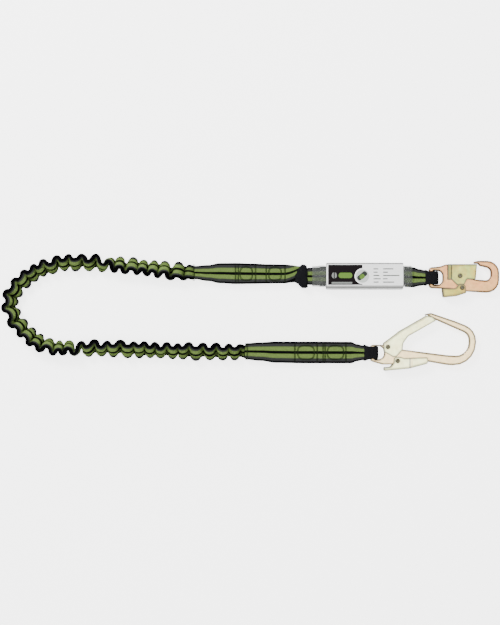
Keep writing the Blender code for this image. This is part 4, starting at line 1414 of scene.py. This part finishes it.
def voxel_mesh(solid, name, voxel):
    """The solid remeshed in even small quads."""
    mesh = bpy.data.meshes.new(name)
    solid.to_mesh(mesh)
    carrier = bpy.data.objects.new(name, mesh)
    bpy.context.scene.collection.objects.link(carrier)
    remesh = carrier.modifiers.new("remesh", "REMESH")
    remesh.mode = "VOXEL"
    remesh.voxel_size = voxel
    remesh.use_smooth_shade = True
    even = bpy.data.meshes.new_from_object(carrier.evaluated_get(bpy.context.evaluated_depsgraph_get()))
    bpy.data.objects.remove(carrier, do_unlink=True)
    return even


def forged_body(name, cad_node, body, eye, bow_from, material, slot):
    """Hook forging: the CAD outline and thickness, with edges as round as a forging's."""
    solid = cad_mesh(cad_node)
    low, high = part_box(cad_node)
    middle = (low.z + high.z) / 2
    half = (high.z - low.z) / 2
    walls = outline_walls(solid, middle)
    mesh = voxel_mesh(solid, name, FORGING_VOXEL)
    solid.free()
    points = np.empty(len(mesh.vertices) * 3)
    mesh.vertices.foreach_get("co", points)
    points = points.reshape(-1, 3)
    inset, away = nearest_wall(points[:, :2], walls)
    height = points[:, 2] - middle
    radius = bow_radius(points[:, 0] - eye.x, bow_from)
    side = np.minimum(inset, radius) - radius
    rise = np.maximum(np.abs(height) - (half - radius), 0.0)
    reach = np.hypot(side, rise)
    corner = (side < 0) & (rise > 0)
    scale = np.where(corner, radius / np.maximum(reach, 1e-9), 1.0)
    new_side = np.where(corner, np.maximum(side * scale, -radius), side)
    moved = new_side - side
    points[:, :2] += away * moved[:, None]
    new_height = np.where(corner, (half - radius) + np.minimum(rise * scale, radius), np.abs(height))
    points[:, 2] = middle + np.sign(height) * new_height
    mesh.vertices.foreach_set("co", points.ravel())
    # Painted shade along the forging's edges.
    painted_edge_shade(mesh, inset + moved, EDGE_REACH)
    return show(placed_mesh(name, mesh, material), body, slot, cad_node)


def pressed_sheet(name, cad_node, body, material, slot):
    """Folded sheet part with the small round edges of a pressing."""
    solid = cad_mesh(cad_node)
    bmesh.ops.dissolve_limit(solid, angle_limit=math.radians(0.5), verts=solid.verts, edges=solid.edges)
    folds = [edge for edge in solid.edges if len(edge.link_faces) == 2]
    sharp = [edge for edge in folds if edge.calc_face_angle() > math.radians(SHARP_FOLD)]
    starts = np.array([edge.verts[0].co[:] for edge in sharp])
    ends = np.array([edge.verts[1].co[:] for edge in sharp])
    bmesh.ops.bevel(
        solid, geom=sharp, offset=SHEET_EDGE, segments=3, profile=0.5, affect="EDGES", clamp_overlap=False,
    )
    low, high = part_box(cad_node)
    for axis in range(2):
        for place in np.arange(low[axis] + SHEET_GRID, high[axis], SHEET_GRID):
            point, normal = Vector(), Vector()
            point[axis], normal[axis] = place, 1.0
            cut = [*solid.verts, *solid.edges, *solid.faces]
            bmesh.ops.bisect_plane(solid, geom=cut, dist=1e-7, plane_co=point, plane_no=normal)
    mesh = bpy.data.meshes.new(name)
    solid.to_mesh(mesh)
    solid.free()
    points = np.array([vertex.co[:] for vertex in mesh.vertices])
    # Painted shade along the pressing's folds and edges.
    painted_edge_shade(mesh, nearest_segment(points, starts, ends)[1], SHEET_EDGE_REACH)
    piece = placed_mesh(name, mesh, material)
    mesh.set_sharp_from_angle(angle=math.radians(40))
    weighted = piece.modifiers.new("flat_shading", "WEIGHTED_NORMAL")
    weighted.keep_sharp = True
    return show(piece, body, slot, cad_node)


def turned(name, profile, centre, sides, material):
    """Turned shape about the vertical through a centre; the profile runs from axis to axis."""
    vertices = []
    for radius, z in profile[1:-1]:
        vertices += [(*on_circle(centre, radius, TAU * step / sides), z) for step in range(sides)]
    rings = len(profile) - 2
    faces = [quad[::-1] for quad in ring_quads(rings, sides)]
    for ring, z, flip in ((0, profile[0][1], False), (rings - 1, profile[-1][1], True)):
        tip = len(vertices)
        vertices.append((centre.x, centre.y, z))
        for j in range(sides):
            corner = (tip, ring * sides + j, ring * sides + (j + 1) % sides)
            faces.append(corner[::-1] if flip else corner)
    return mesh_object(name, vertices, faces, material, sharp=40)


def riveted(name, cad_node, body):
    """Rivet with domed heads, each with the small dimple of its snap tool."""
    low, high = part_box(cad_node)
    middle = (low + high) / 2
    head = (high.x - low.x) / 2
    top = high.z - middle.z
    under = top - RIVET_HEAD_HEIGHT
    bottom, rim = RIVET_DIMPLE_SHARES
    dome = [
        (0.0, top - RIVET_DIMPLE),
        (head * bottom, top - RIVET_DIMPLE * RIVET_DIMPLE_RISE),
        (head * rim, top - RIVET_RIM_DROP),
    ]
    for step in range(1, RIVET_DOME_STEPS + 1):
        angle = math.pi / 2 * step / RIVET_DOME_STEPS
        radius = head * (rim + (1.0 - rim) * math.sin(angle))
        dome.append((radius, under + RIVET_HEAD_HEIGHT * math.cos(angle) * RIVET_DOME_SHARE))
    dome.append((RIVET_SHANK, under))
    profile = [(r, middle.z + z) for r, z in dome] + [(r, middle.z - z) for r, z in reversed(dome)]
    show(turned(name, profile, middle, RIVET_SIDES, STEEL), body, "rivet_steel", cad_node)


def bow_radius(from_eye, bow_from):
    """Edge radius of a forging at a distance from its eye; its bow is round from bow_from on."""
    bow = np.clip((from_eye - bow_from) / BOW_EASE, 0.0, 1.0)
    eye = np.clip((EYE_END - from_eye) / EYE_EASE, 0.0, 1.0)
    share = smooth_step(np.maximum(bow, EYE_SHARE * eye))
    return FLAT_RADIUS + (BOW_RADIUS - FLAT_RADIUS) * share


def hooks():
    for prefix, forged, gate, lever, forged_slot, pressed_slot, bow_from in HOOKS:
        hook, body = prefix + "_hook", prefix + "_hook_body"
        eye = JOINT_AT[hook + "_swing"]
        forged_body(prefix + "_forging", body, hook, eye, bow_from, forged, forged_slot)
        gate_node, lever_node = prefix + "_gate", prefix + "_lock_lever"
        pressed_sheet(prefix + "_gate_pressing", gate_node, prefix + "_gate", gate, pressed_slot)
        pressed_sheet(prefix + "_lever_pressing", lever_node, prefix + "_lock", lever, pressed_slot)
        riveted(prefix + "_gate_pin", prefix + "_gate_rivet", hook)
        riveted(prefix + "_lever_pin", prefix + "_lock_rivet", hook)
        for spring in ("_gate_spring", "_lock_spring"):
            coil = frame["nodes"][prefix + spring]
            coil.data.materials.clear()
            coil.data.materials.append(STEEL)


camera()
floor()
lighting()
elastic_stretch()
upper_sewn_end()
lower_sewn_end()
absorber_link_loop()
absorber_hook_loop()
choked_link()
absorber_pack()
label()
hooks()
